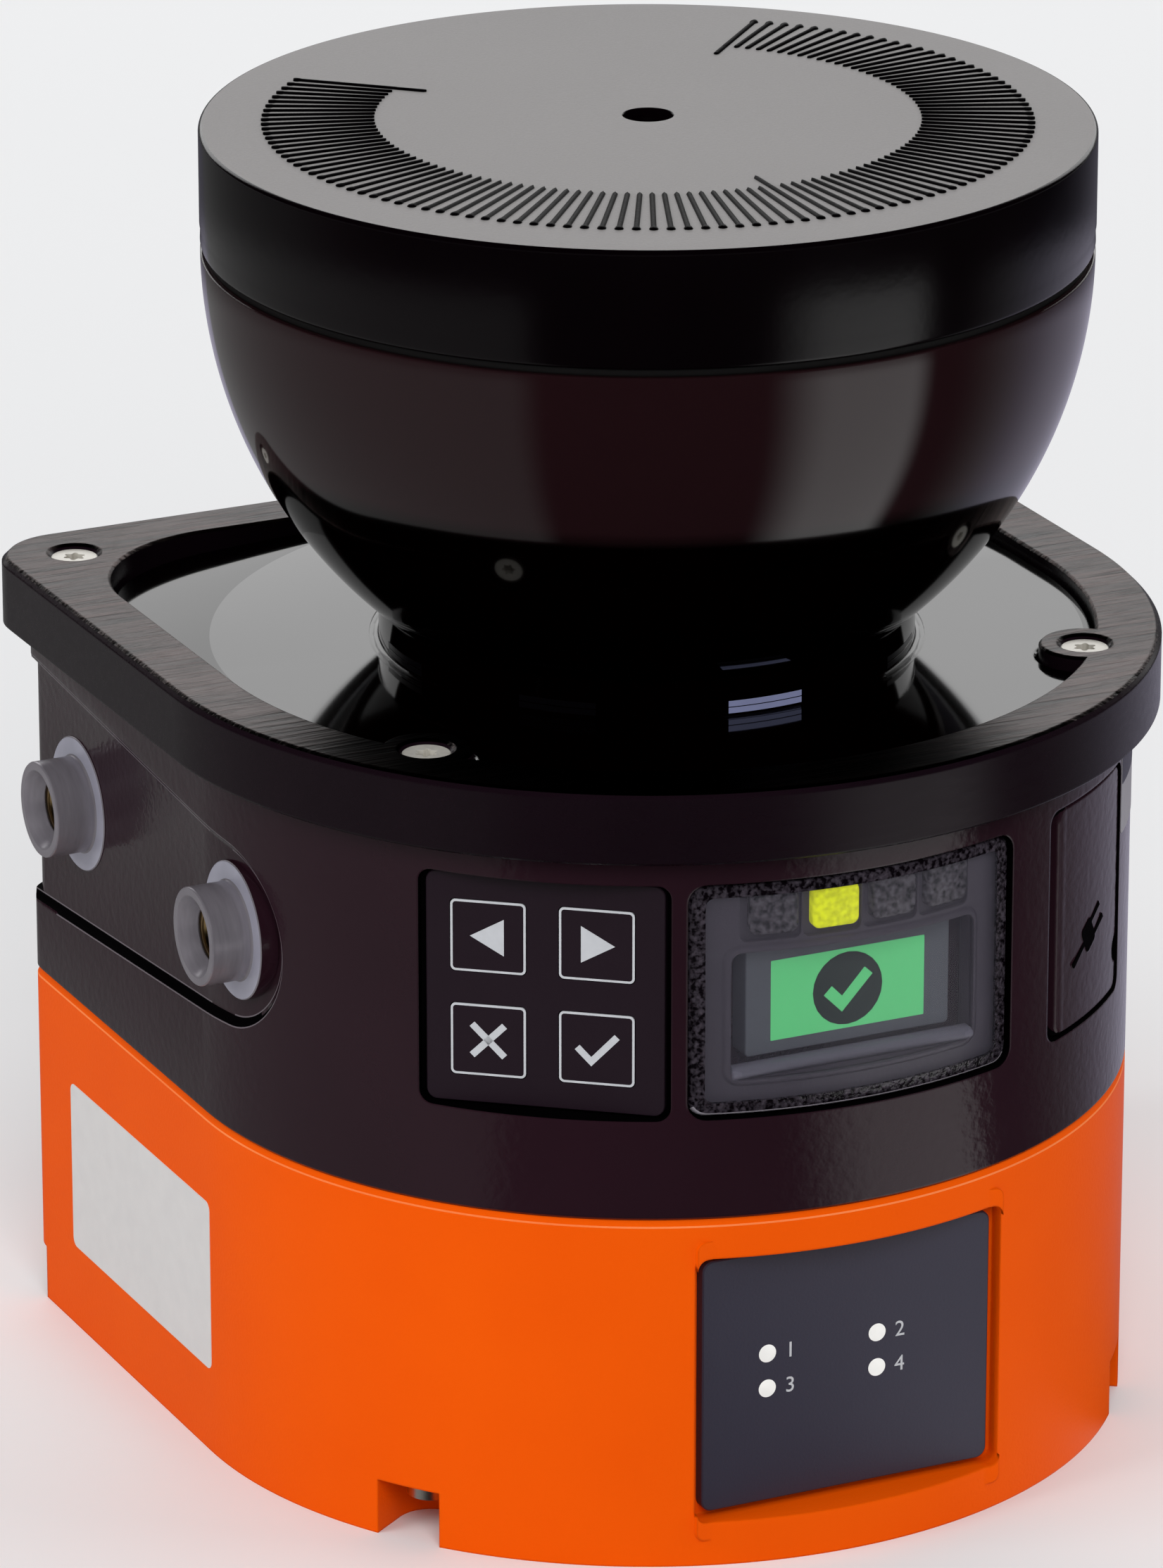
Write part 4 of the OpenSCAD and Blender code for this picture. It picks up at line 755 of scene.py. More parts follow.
PAPER = two_tone("label foil", (400, 3), (205, 203, 202), (216, 214, 212), Roughness=0.3,
                 IOR=1.45)
LENS_DARK = grained_lens("dark signal lens", (84, 80, 86), 0.0, 0.25)
LENS_YELLOW = grained_lens("lit signal lens", (222, 230, 0), 0.42)
LIGHT_ON = glow("lit neck light", (150, 156, 196), 0.42, (60, 62, 80))
LIGHT_OFF = glow("unlit neck light", (92, 96, 120), 0.0, (4, 3, 5))
LED = glow("white light", (236, 236, 232), 0.15)
BEZEL = matt_black("grey display face", (62, 57, 66), 0.32)
LEDGE_REFLECTION = matt_black("ledge, painted reflection", (92, 90, 102), 0.25)
GLASS_EDGE_HIGHLIGHT = matt_black("painted glass edge highlight", (150, 144, 152), 0.2)
print("materials:", len(bpy.data.materials))

# %% [markdown]
# ## The orange base
#
# The base is one hollow moulding. Its shell is lofted with a fine chamfer at its upper edge, and
# the front recess, the screw pockets and the bay at the back are cut out of it.

# %% Base shell
POCKET_WIDTH, POCKET_HEIGHT, POCKET_REACH = 7.6, 6.3, 11
RECESS_WIDTH, RECESS_MIDDLE = 36.4, (0, 20.25)


def screw_pocket(place, outward):
    """Slot with a round inner end, open towards the outside of the base."""
    half = POCKET_WIDTH / 2
    slot = arc((0, 0), half, 90, 270, 16) + [(POCKET_REACH, -half), (POCKET_REACH, half)]
    turn = Matrix.Rotation(math.radians(outward), 4, "Z")
    move = Matrix.Translation((place[0], place[1], 0))
    return loft("pocket", [[move @ turn @ Vector((x, y, z)) for x, y in slot]
                           for z in (-1, POCKET_HEIGHT)])


def bay_block(half, low, high, near, far):
    """Block across the back: the bay of the connectors, or the walls round it."""
    corners = ((-half, low), (half, low), (half, high), (-half, high))
    return loft("bay", [[(x, y, z) for x, z in corners] for y in (near, far)])


def make_base():
    shell = stack("base_shell", body_outline, [(0.0, 0.0), (0.0, BASE_TOP - 0.75),
                                               (0.1, BASE_TOP - 0.62), (0.4, BASE_TOP)])
    carve(shell, [stack("inside", body_outline, [(WALL, -1), (WALL, BASE_TOP - WALL)])])
    tray = slab("tray", RECESS_MIDDLE, (45.8, 50.4), (RECESS_WIDTH, 34.5, 1.0))
    columns = [column(p, 4.9 if p in FRONT_SCREWS else 5.0, 0, BASE_TOP - 1) for p in SCREW_PLACES]
    carve(shell, [tray, *columns, bay_block(34, 5, 35, 42, 51)], "UNION")
    recess = slab("recess", RECESS_MIDDLE, (47.8, 60), (RECESS_WIDTH, 30.5, 1.2))
    angle = math.degrees(SCREW_ANGLE)
    pockets = [screw_pocket(*p) for p in zip(SCREW_PLACES, (-90 - angle, angle - 90, 135, 45))]
    carve(shell, [recess, bay_block(32, 7, 33, 44, 60), *pockets])
    smooth(shell, radii=(BODY_RADIUS, BODY_RADIUS - WALL))
    fit(dress(shell, ORANGE), "housing", "base_housing")


make_base()

# %% [markdown]
# ## The black housing
#
# The housing follows the same outline as the base, and a milled-looking pad lies on each side. The
# cutter of a pad is a loft whose outline widens towards the back, with its edge rounding listed as
# (depth, inset) steps. Faces of the pads and recesses are then picked out by their depth and level,
# for a painted highlight along the pad edges, a painted dark reflection on the pad ledges and
# painted shade in the front recesses.

# %% Side pads and shaded faces
PAD_ROUNDING = [(3.0, 1.0), (0.75, 1.0), (0.71, 0.86), (0.58, 0.45), (0.38, 0.2), (0.16, 0.05),
                (0.06, -0.08), (0.0, -0.22), (-3.0, -0.22)]
PAD_RADIUS, PAD_BACK_SHIFT, PAD_DROP = 10.4, 1.5, 0.6
PAD_SLOPE = 4.5
PAD_STEPS = (0.03, 0.06, 0.09, 0.12, 0.2, 0.4, 0.6, 0.8)


def depth_below_wall(place):
    """How far a point lies inside the housing's outline."""
    side, rear = BODY_RADIUS - BODY_CORNER, BODY_BACK - BODY_CORNER
    if place.y > rear and abs(place.x) > side:
        return BODY_CORNER - math.hypot(abs(place.x) - side, place.y - rear)
    return BODY_RADIUS - math.hypot(place.x, min(place.y, 0))


def beside_bush(place):
    return abs(place.x) > 38 and abs(place.z - BUSH_LEVEL) < 15


def on_pad_line(place, normal):
    """Narrow faces along both edges of a side pad's rounding, which get a painted highlight."""
    depth = depth_below_wall(place)
    edges = 0.015 < depth < 0.05 or 0.715 < depth < 0.745
    return beside_bush(place) and abs(normal.y) < 0.9 and edges


# Upward faces of a pad's ledge get a painted dark reflection: black, as the dark room they mirror
def on_pad_ledge(place, normal):
    return beside_bush(place) and normal.z > 0.25 and 0.07 < depth_below_wall(place) < 0.7


def in_front_recess(place, normal):
    """Faces of the recesses round the front, from the keypad to the service cover, which get
    painted shade.
    """
    angle = math.degrees(math.atan2(place.x, -place.y))
    reach = math.hypot(place.x, place.y)
    level = abs(place.z - FIELD_MIDDLE) < FIELD_HEIGHT / 2 + 0.1
    return -56 < angle < 52 and level and 46 < reach < BODY_RADIUS - 0.1


def side_pad(side, front):
    """Cutter for a side pad: round at the front bush, widening towards the back."""
    slope = math.radians(PAD_SLOPE)
    front, level = front + PAD_BACK_SHIFT, BUSH_LEVEL - PAD_DROP
    reach = BODY_BACK + 2 - front
    layers = []
    for depth, inset in PAD_ROUNDING:
        radius = PAD_RADIUS - inset
        half = radius / math.cos(slope) + reach * math.tan(slope)
        outline = arc((front, level), radius, 90 + PAD_SLOPE, 270 - PAD_SLOPE, 40)
        low, high = outline[-1], outline[0]
        end = [(front + reach, level - half), (front + reach, level + half)]
        outline += [tuple(Vector(low).lerp(Vector(end[0]), share)) for share in PAD_STEPS]
        outline += end
        outline += [tuple(Vector(high).lerp(Vector(end[1]), share))
                    for share in reversed(PAD_STEPS)]
        radius = BODY_RADIUS - depth
        layers.append([(side * math.sqrt(radius ** 2 - min(y, 0) ** 2), y, z) for y, z in outline])
    return loft("pad", layers)


print("steps of a pad's rounding:", len(PAD_ROUNDING))

# %% [markdown]
# The housing is one hollow casting. Trays are added behind the front recesses first, so that each
# recess keeps a wall, and then the pads, the keypad recess, the display recess and the recess of
# the service cover are cut.

# %% Housing shell
SOCKET_MIDDLE = (2, FIELD_MIDDLE)


def front_trays():
    """Blocks inside the wall, behind the recesses."""
    return [slab("keypad tray", FIELD_CENTRE, (44.9, 50.2), (26.6, 26.4, 1), KEYPAD_ANGLE),
            slab("display tray", FIELD_CENTRE, (43.5, 48.9), (39, 26.4, 1)),
            bent_plate("service tray", 20.3, FIELD_HEIGHT, 1, FIELD_MIDDLE, 48.7, 51.8,
                       angle=SERVICE_ANGLE),
            slab("socket tray", SOCKET_MIDDLE, (45.2, 51), (13, 17, 1), SERVICE_ANGLE)]


def front_recesses():
    return [slab("keypad recess", FIELD_CENTRE, (49.7, 60), (27.1, FIELD_HEIGHT, 1.5),
                 KEYPAD_ANGLE),
            slab("keypad well", FIELD_CENTRE, (46.9, 50), (22.6, 22.6, 1), KEYPAD_ANGLE),
            slab("display recess", FIELD_CENTRE, (45.4, 60), (38.2, FIELD_HEIGHT, 2)),
            bent_plate("service recess", 19.3, FIELD_HEIGHT, 1.5, FIELD_MIDDLE, SERVICE_FACE - 1.3,
                       60, angle=SERVICE_ANGLE),
            slab("socket well", SOCKET_MIDDLE, (46.2, 52), (11, 15, 1), SERVICE_ANGLE),
            slab("hinge groove", (HINGE_X, FIELD_MIDDLE), (49.3, 52), (3.5, FIELD_HEIGHT, 0.3),
                 SERVICE_ANGLE)]


def make_housing():
    shell = stack("housing_shell", body_outline,
                  [(0.3, BASE_TOP), (0.0, BASE_TOP + 0.35), (0.0, HOUSING_TOP)])
    inside = stack("inside", body_outline, [(WALL, BASE_TOP + WALL), (WALL, HOUSING_TOP + 1)])
    carve(shell, [inside])
    carve(shell, front_trays(), "UNION")
    rest = stack("rest", body_outline, [(0.75, BASE_TOP - 1), (0.75, HOUSING_TOP + 1)])
    pads = join("pads", [side_pad(*BUSH_PLACES[number]) for number in (0, 2)])
    carve(pads, [rest])
    carve(shell, [pads, *front_recesses()])
    smooth(shell, radii=(BODY_RADIUS, BODY_RADIUS - 0.75, BODY_RADIUS - WALL))
    dress(shell, LACQUER)
    # Painted light: a highlight along the pad edges, a dark reflection on the pad ledges and shade
    # in the front recesses
    paint(shell, PAD_EDGE_HIGHLIGHT, on_pad_line)
    paint(shell, SHADE_AND_PRINT_BLACK, on_pad_ledge)
    paint(shell, SHADE_AND_PRINT_BLACK, in_front_recess)
    fit(shell, "housing", "main_housing")


make_housing()

# %% [markdown]
# ## The clamp plate
#
# The plate overhangs the housing by 3 mm. Its top edge is chamfered, and so is the edge of its
# opening, which has two lugs for the front screws.

# %% Clamp plate
def countersink(place):
    section = [(0, PLATE_TOP - 3.15), (3.65, PLATE_TOP + 0.5), (0, PLATE_TOP + 0.5)]
    cone = turned("countersink", section, 48)
    for vertex in cone.data.vertices:
        vertex.co += Vector((place[0], place[1], 0)) * MM
    return cone


def make_plate():
    plate = stack("plate", plate_outline, [(0.3, HOUSING_TOP), (0.0, HOUSING_TOP + 0.3),
                                           (0.0, PLATE_TOP - 0.7), (0.7, PLATE_TOP)])
    opening = stack("opening", opening_outline, [(0.0, HOUSING_TOP - 1), (0.0, PLATE_TOP - 0.3),
                                                 (-0.6, PLATE_TOP + 0.3)])
    holes = [column(p, 1.7, HOUSING_TOP - 1, PLATE_TOP) for p in SCREW_PLACES]
    carve(plate, [opening])
    carve(plate, [countersink(p) for p in SCREW_PLACES])
    carve(plate, holes)
    smooth(plate, radii=(PLATE_RADIUS,))
    fit(dress(plate, PLATE), "housing", "clamp_plate")


make_plate()

# %% [markdown]
# ## Optics cover and cap
#
# The cover is one moulding: a deck that fills the plate's opening, a neck, and the bowl. The bowl's
# section is a single arc. The deck and the turned part are made apart and joined at the neck.

# %% Optics cover
NECK_RADIUS = 29.2
DISC_RADIUS = 47.6
FRONT_REACH = 48.6
DECK_SLOPE = math.tan(math.radians(6))
NECK_TOP = DECK_TOP + 4.3
BOWL_TOP = 48.0
BOWL_HEIGHT = 40.0
COVER_WALL = 2.5
SWELL = BOWL_TOP - NECK_RADIUS
BOWL_ARC = (BOWL_HEIGHT ** 2 + SWELL ** 2) / (2 * SWELL)


def polar(outline, steps=480):
    """Radius of an outline at even angles about the head axis."""
    count = len(outline)
    radii = []
    for step in range(steps):
        angle = 2 * math.pi * (step + 0.5) / steps
        along = Vector((math.cos(angle), math.sin(angle)))
        best = 0.0
        for i in range(count):
            start, end = Vector(outline[i]), Vector(outline[(i + 1) % count])
            run = end - start
            cross = along.x * run.y - along.y * run.x
            if abs(cross) < 1e-9:
                continue
            share = (start.y * along.x - start.x * along.y) / -cross
            reach = (start.x * run.y - start.y * run.x) / cross
            if -1e-6 <= share <= 1 + 1e-6 and reach > best:
                best = reach
        radii.append((angle, best))
    return radii


def make_deck():
    """Flat round deck whose back corners slope down a little outside the disc."""
    outer, lip = polar(opening_outline(0.25)), polar(opening_outline(0.55))

    def layer(radii, height, cap=None):
        points = []
        for angle, radius in radii:
            drop = max(radius - FRONT_REACH, 0) * DECK_SLOPE
            reach = radius if cap is None else min(radius, cap)
            level = height - (0 if cap is not None else drop)
            points.append((reach * math.cos(angle), reach * math.sin(angle), level))
        return points

    deck = loft("deck", [layer(outer, HOUSING_TOP - 1.0), layer(outer, DECK_TOP - 0.3),
                         layer(lip, DECK_TOP), layer(lip, DECK_TOP, DISC_RADIUS),
                         layer(lip, DECK_TOP, NECK_RADIUS + 0.5)])
    hollow = stack("hollow", opening_outline,
                   [(2.75, HOUSING_TOP - 4), (2.75, DECK_TOP - COVER_WALL)])
    hole = column((0, 0), NECK_RADIUS + 0.6, DECK_TOP - 8, DECK_TOP + 1)
    return smooth(carve(deck, [hollow, hole]), 3)


def outside_disc(place, normal):
    """Top faces of the deck beyond its round disc."""
    level = abs(place.z - DECK_TOP) < 1.2 and normal.z > 0.9
    return level and math.hypot(place.x, place.y) > DISC_RADIUS


def make_cover():
    centre = (BOWL_TOP - BOWL_ARC, NECK_TOP + BOWL_HEIGHT)

    def bowl_angle(radius, level):
        return math.degrees(math.asin((level - centre[1]) / radius))

    inner = BOWL_ARC - COVER_WALL
    neck_inner = NECK_RADIUS - COVER_WALL
    section = arc(centre, BOWL_ARC, bowl_angle(BOWL_ARC, NECK_TOP),
                  bowl_angle(BOWL_ARC, SEAM_LOW), 72)
    low = -math.degrees(math.acos((neck_inner - centre[0]) / inner))
    section += arc(centre, inner, bowl_angle(inner, SEAM_LOW), low, 48)
    section += [(neck_inner, DECK_TOP - COVER_WALL), (NECK_RADIUS + 1, DECK_TOP - COVER_WALL),
                (NECK_RADIUS + 1, DECK_TOP - 0.001), (NECK_RADIUS + 0.25, DECK_TOP),
                (NECK_RADIUS + 0.07, DECK_TOP + 0.07), (NECK_RADIUS, DECK_TOP + 0.25)]
    bowl = smooth(turned("bowl", section, 288), 24)
    cover = dress(join("optics_shell", [bowl, smooth(make_deck())]), OPTICS)
    paint(cover, OPTICS_SLOPE, outside_disc)
    fit(cover, "housing", "optics_cover")


make_cover()

# %% [markdown]
# The cap closes the bowl with a seam, flares a little over its foot and ends in a slightly domed
# top with a dimple in the middle. It is one turned part, so it is spun from one half section.

# %% Head cap
CAP_RADIUS = cap_high.x - 0.35
CAP_FOOT = 47.9
CAP_RIM = SEAM_HIGH + 12.8
EDGE = 0.5
DOME_EDGE = CAP_RADIUS - EDGE
DOME_RISE = 0.8
DOME_RADIUS = (DOME_EDGE ** 2 + DOME_RISE ** 2) / (2 * DOME_RISE)


def dome_height(radius):
    """Height of the domed top face at a radius."""
    return CAP_RIM + DOME_RISE - DOME_RADIUS + math.sqrt(DOME_RADIUS ** 2 - radius ** 2)


def make_cap():
    inner, seat, foot, dip = CAP_RADIUS - 2.5, CAP_FOOT - 1, SEAM_HIGH, dome_height(3)
    section = [(seat, foot), (CAP_FOOT - 0.25, foot), (CAP_FOOT, foot + 0.2),
               (CAP_FOOT + 0.1, foot + 0.5), (CAP_RADIUS - 0.1, foot + 1.9),
               (CAP_RADIUS, foot + 2.4)]
    section += arc((DOME_EDGE, CAP_RIM - EDGE), EDGE, 0, 88, 10)
    section += [(r, dome_height(r)) for r in (45, 42, 36, 30, 24, 18, 12, 8, 5, 3.4)]
    section += [(2.8, dip - 0.04), (2.6, dip - 0.3), (2.5, dip - 1.5), (0, dip - 1.6)]
    section += [(0, CAP_RIM - 2.5), (inner, CAP_RIM - 2.5), (inner, foot + 1.2),
                (seat, foot + 1.2)]
    cap = dress(smooth(turned("cap_shell", section, 320), 40), CAP)
    # The top face gets the grey of the painted sheen; the dimple in the middle keeps the black
    return paint(cap, CAP_TOP_SHEEN, lambda place, normal: normal.z > 0.97 and place.z > CAP_RIM - 1
                 and math.hypot(place.x, place.y) > 2.9)


print("cap rim:", round(CAP_RIM, 2), "dome radius:", round(DOME_RADIUS, 1))

# %% [markdown]
# The angle scale on the cap has one raised mark every 2.5 degrees, each half round with a small
# knob at its outer end. One mark is modelled, and Geometry Nodes turn copies of it round the axis.

# %% Marks of the angle scale
MARK_END, MARK_HALF, MARK_HEIGHT = 40.95, 0.3, 0.25


def mark(name, inner):
    """Half-round rib along -Y that follows the domed top, with a round knob at its outer end."""
    arch = [(MARK_HALF * math.cos(a), MARK_HEIGHT * math.sin(a)) for a in
            [math.radians(v) for v in (-20, 10, 40, 70, 90, 110, 140, 170, 200)]]
    rows = []
    for reach, scale in ((inner, 0.35), (inner + 0.25, 1.0), (MARK_END - 0.5, 1.0),
                         (MARK_END - 0.3, 1.5), (MARK_END, 1.65), (MARK_END + 0.25, 1.3),
                         (MARK_END + 0.38, 0.3)):
        rise = 1 if scale <= 1 else 1.1
        rows.append([(x * scale, -reach, dome_height(reach) + z * rise) for x, z in arch])
    return smooth(loft(name, rows), 60)


# %% [markdown]
# Repeated parts are one piece that is set at many places, as an assembler does it. One tree puts a
# copy at each vertex, and the ring tree adds a line of points that all lie on the axis and turn.

# %% Geometry Nodes for copies
def copies_tree(name, extra=()):
    """Tree that puts copies of a piece at points, and the two nodes that a ring still feeds."""
    tree = bpy.data.node_groups.new(name, "GeometryNodeTree")
    for label, kind in (("Geometry", "Geometry"), ("Piece", "Object"), ("Material", "Material"),
                        *extra):
        tree.interface.new_socket(label, in_out="INPUT", socket_type="NodeSocket" + kind)
    tree.interface.new_socket("Geometry", in_out="OUTPUT", socket_type="NodeSocketGeometry")
    link = tree.links.new
    inputs, output, piece, copies, real, paint_all = [tree.nodes.new(kind) for kind in (
        "NodeGroupInput", "NodeGroupOutput", "GeometryNodeObjectInfo",
        "GeometryNodeInstanceOnPoints", "GeometryNodeRealizeInstances", "GeometryNodeSetMaterial")]
    link(inputs.outputs["Geometry"], copies.inputs["Points"])
    link(inputs.outputs["Piece"], piece.inputs["Object"])
    link(piece.outputs["Geometry"], copies.inputs["Instance"])
    link(copies.outputs[0], real.inputs[0])
    link(real.outputs[0], paint_all.inputs["Geometry"])
    link(inputs.outputs["Material"], paint_all.inputs["Material"])
    link(paint_all.outputs[0], output.inputs[0])
    return tree, inputs, copies


def ring_tree():
    """Copies that are turned round the head axis, step by step."""
    tree, inputs, copies = copies_tree(
        "ring of copies", (("Count", "Int"), ("Step", "Float"), ("Start", "Float")))
    link = tree.links.new
    points, index, turn, shift, spin = [tree.nodes.new(kind) for kind in (
        "GeometryNodeMeshLine", "GeometryNodeInputIndex", "ShaderNodeMath", "ShaderNodeMath",
        "ShaderNodeCombineXYZ")]
    points.inputs["Offset"].default_value = (0, 0, 0)
    turn.operation, shift.operation = "MULTIPLY", "ADD"
    link(inputs.outputs["Count"], points.inputs["Count"])
    link(index.outputs[0], turn.inputs[0])
    link(inputs.outputs["Step"], turn.inputs[1])
    link(turn.outputs[0], shift.inputs[0])
    link(inputs.outputs["Start"], shift.inputs[1])
    link(shift.outputs[0], spin.inputs["Z"])
    link(points.outputs["Mesh"], copies.inputs["Points"])
    link(spin.outputs[0], copies.inputs["Rotation"])
    return tree


POINTS, RING = copies_tree("copies at points")[0], ring_tree()
print("node trees:", [tree.name for tree in (POINTS, RING)])

# %% [markdown]
# A tree runs in a modifier on a plain object. Its result is turned into an ordinary mesh at once,
# and the modifier and the single piece are deleted, so that no piece depends on a node tree later.

# %% Run a node tree
def set_copies(name, places, tree, values):
    """Plain mesh made by a tree from points in millimetres and its named inputs."""
    mesh = bpy.data.meshes.new(name)
    mesh.from_pydata([Vector(p) * MM for p in places], [], [])
    holder = new_object(name, mesh)
    modifier = holder.modifiers.new("copies", "NODES")
    modifier.node_group = tree
    for item in tree.interface.items_tree:
        if item.in_out == "INPUT" and item.name in values:
            modifier[item.identifier] = values[item.name]
    baked = baked_mesh(holder)
    holder.modifiers.clear()
    holder.data = baked
    bpy.data.objects.remove(values["Piece"])
    return holder


def ring(name, piece, count, step, start, material):
    """`count` copies of a piece, turned by `step` degrees each."""
    return set_copies(name, [], RING, {
        "Piece": piece, "Count": count, "Step": math.radians(step),
        "Start": math.radians(start), "Material": material})


def at_points(name, piece, places, material):
    """A copy of the piece at each place."""
    return set_copies(name, places, POINTS, {"Piece": piece, "Material": material})


MARKS, MARK_STEP, SCALE_END = 111, 2.5, 137.5
cap = make_cap()
marks = ring("marks", mark("short mark", 29.2), MARKS, MARK_STEP, -SCALE_END, RIB)
long_marks = ring("long marks", mark("long mark", 25.7), 3, SCALE_END, -SCALE_END, RIB)
cap = join("cap_shell", [cap, marks, long_marks])
fit(cap, "housing", "head_cap")

# %% [markdown]
# ## Screws and bushes
#
# The plate's countersunk screws share one modelled head with a six-lobed recess. Geometry Nodes put
# a copy at each hole.

# %% Plate screws
def lobed_outline(radius, lobe, steps=12):
    """Six-lobed outline of a screw recess."""
    points = []
    for i in range(6 * steps):
        angle = 2 * math.pi * i / (6 * steps)
        reach = radius + lobe * math.cos(6 * angle)
        points.append((reach * math.cos(angle), reach * math.sin(angle)))
    return points


def screw_head():
    """Countersunk head whose top lies at the origin."""
    head = turned("head", [(0, 0), (2.5, 0), (2.65, -0.12), (1.5, -1.3), (1.5, -4), (0, -4)], 64)
    star = lobed_outline(1.05, 0.2)
    cutter = loft("star", [[(x, y, z) for x, y in star] for z in (-1.0, 1)])
    carve(head, [cutter])
    return smooth(head, 30)


HEAD_TOP = PLATE_TOP - 0.5
screws = at_points("plate_screws", screw_head(), [(*p, HEAD_TOP) for p in SCREW_PLACES],
                   SCREW_HEAD)
fit(screws, "housing", "clamp_screws")

# %% [markdown]
# Two bushes stand out of each side, for the device's bracket. A bush is a turned disc, collar and
# conical mouth, and the insert inside it gets the ridges of its thread. Both are spun from a half
# section of (distance along the bush, radius) points and then laid on their side.

# %% Side bushes
INSERT_FACE, INSERT_BACK = 54.9, 47
THREAD_RIDGES, THREAD_PITCH, THREAD_OUTER, THREAD_INNER = 8, 0.8, 2.5, 2.1


def on_side(name, section, steps, side, y):
    """Turned piece whose axis runs out of one side of the housing."""
    piece = turned(name, [(r, x) for x, r in section], steps)
    return piece, (Matrix.Translation(Vector((0, y, BUSH_LEVEL)) * MM)
                   @ Matrix.Rotation(math.radians(side * 90), 4, "Y"))


def bush(side, y):
    """Bush with its disc, collar and conical mouth."""
    section = [(50.25, 7.6), (52.3, 7.6), (52.42, 7.48), (52.42, 5.6), (52.6, 5.4), (56.85, 5.4),
               (57, 5.3), (57, 4.45), (56.8, 4.25), (55.05, 3.05), (54.95, 3.2), (50.25, 3.2)]
    piece, placing = on_side("bush", section, 96, side, y)
    dress(piece, BUSH)
    paint(piece, LACQUER, lambda place, normal: math.hypot(place.x, place.y) > 7.54)
    paint(piece, DISC, lambda place, normal: place.z > 52.2
          and 5.5 < math.hypot(place.x, place.y) < 7.5)
    piece.data.transform(placing)
    return smooth(piece, 28)


def insert(side, y):
    """Threaded insert, with the ridges of its thread inside."""
    section = [(INSERT_BACK, 3.2), (INSERT_FACE, 3.2), (INSERT_FACE, THREAD_OUTER)]
    for ridge in range(THREAD_RIDGES):
        place = 54.7 - THREAD_PITCH * ridge
        section += [(place, THREAD_OUTER), (place - 0.4, THREAD_INNER)]
    section += [(INSERT_BACK, THREAD_OUTER)]
    piece, placing = on_side("insert", section, 64, side, y)
    piece.data.transform(placing)
    return smooth(piece, 20)


fit(join("bushes", [bush(*p) for p in BUSH_PLACES]), "housing", "side_bushes")
inserts = dress(join("inserts", [insert(*p) for p in BUSH_PLACES]), BRASS)
fit(inserts, "housing", "threaded_inserts")

# %% [markdown]
# ## Keypad
#
# Four keys sit in a flat panel. Each key has a printed outline and a printed symbol, which are thin
# raised shapes on its face.

# %% Prints and strokes
INK_DEPTH, INK_ROOT = 0.03, -0.2


def printed(name, outline, centre, distance, angle, hole=None):
    """Thin raised print: an outline, or the band between an outline and its hole."""
    turn = facing(angle)

    def layer(points, depth):
        return [turn @ Vector((centre[0] + x, -(distance + depth), centre[1] + z))
                for x, z in points]

    if hole is None:
        piece = loft(name, [layer(outline, INK_ROOT), layer(outline, INK_DEPTH)])
    else:
        count = len(outline)
        points = [p for shape, depth in ((outline, INK_ROOT), (outline, INK_DEPTH),
                                         (hole, INK_DEPTH), (hole, INK_ROOT))
                  for p in layer(shape, depth)]
        faces = []
        for i in range(count):
            j = (i + 1) % count
            for a in range(4):
                b = (a + 1) % 4
                faces.append((a * count + i, a * count + j, b * count + j, b * count + i))
        piece = solid(name, points, faces)
    return dress(piece, INK)


def bar(start, end, width):
    """Outline of a straight stroke between two points."""
    run = Vector(end) - Vector(start)
    side = Vector((-run.y, run.x)).normalized() * width / 2
    return [tuple(Vector(start) + side), tuple(Vector(start) - side), tuple(Vector(end) - side),
            tuple(Vector(end) + side)]


def tick(size, width):
    """Outline of a check mark."""
    a, b, c = [Vector(p) * size for p in ((-0.5, 0.02), (-0.14, -0.34), (0.52, 0.36))]
    n1, n2 = [Vector((q.y - p.y, p.x - q.x)).normalized() * width / 2 for p, q in ((a, b), (b, c))]
    inner = b + Vector((0, width / 2 * 1.35))
    outer = b - Vector((0, width / 2 * 1.45))
    return [tuple(p) for p in (a - n1, a + n1, outer, c + n2, c - n2, inner)]


# %% [markdown]
# The panel is a flat plate with four square holes, and each key is a block with a flange behind the
# panel, so that it can't fall out. A key with its prints is one piece, since it moves as one.

# %% Keypad panel and keys
KEY_FACE, KEY_WIDTH, KEY_HEIGHT, KEY_FLANGE = 50.9, 8.1, 8.0, 0.45
KEY_PITCH, KEY_SHIFT = 11.65, -0.3
KEY_GAP = 0.2
STROKE = 0.75
SYMBOLS = {
    "key_left": [[(1.7, 2.05), (-1.95, 0), (1.7, -2.05)]],
    "key_right": [[(-1.7, 2.05), (-1.7, -2.05), (1.95, 0)]],
    "key_cancel": [bar((-1.75, -1.75), (1.75, 1.75), STROKE),
                   bar((-1.75, 1.75), (1.75, -1.75), STROKE)],
    "key_confirm": [tick(4.2, STROKE)],
}
KEY_CENTRES = {name: (KEY_SHIFT + column * KEY_PITCH / 2, FIELD_MIDDLE + row * KEY_PITCH / 2)
               for name, column, row in (("key_left", -1, 1), ("key_right", 1, 1),
                                         ("key_cancel", -1, -1), ("key_confirm", 1, -1))}


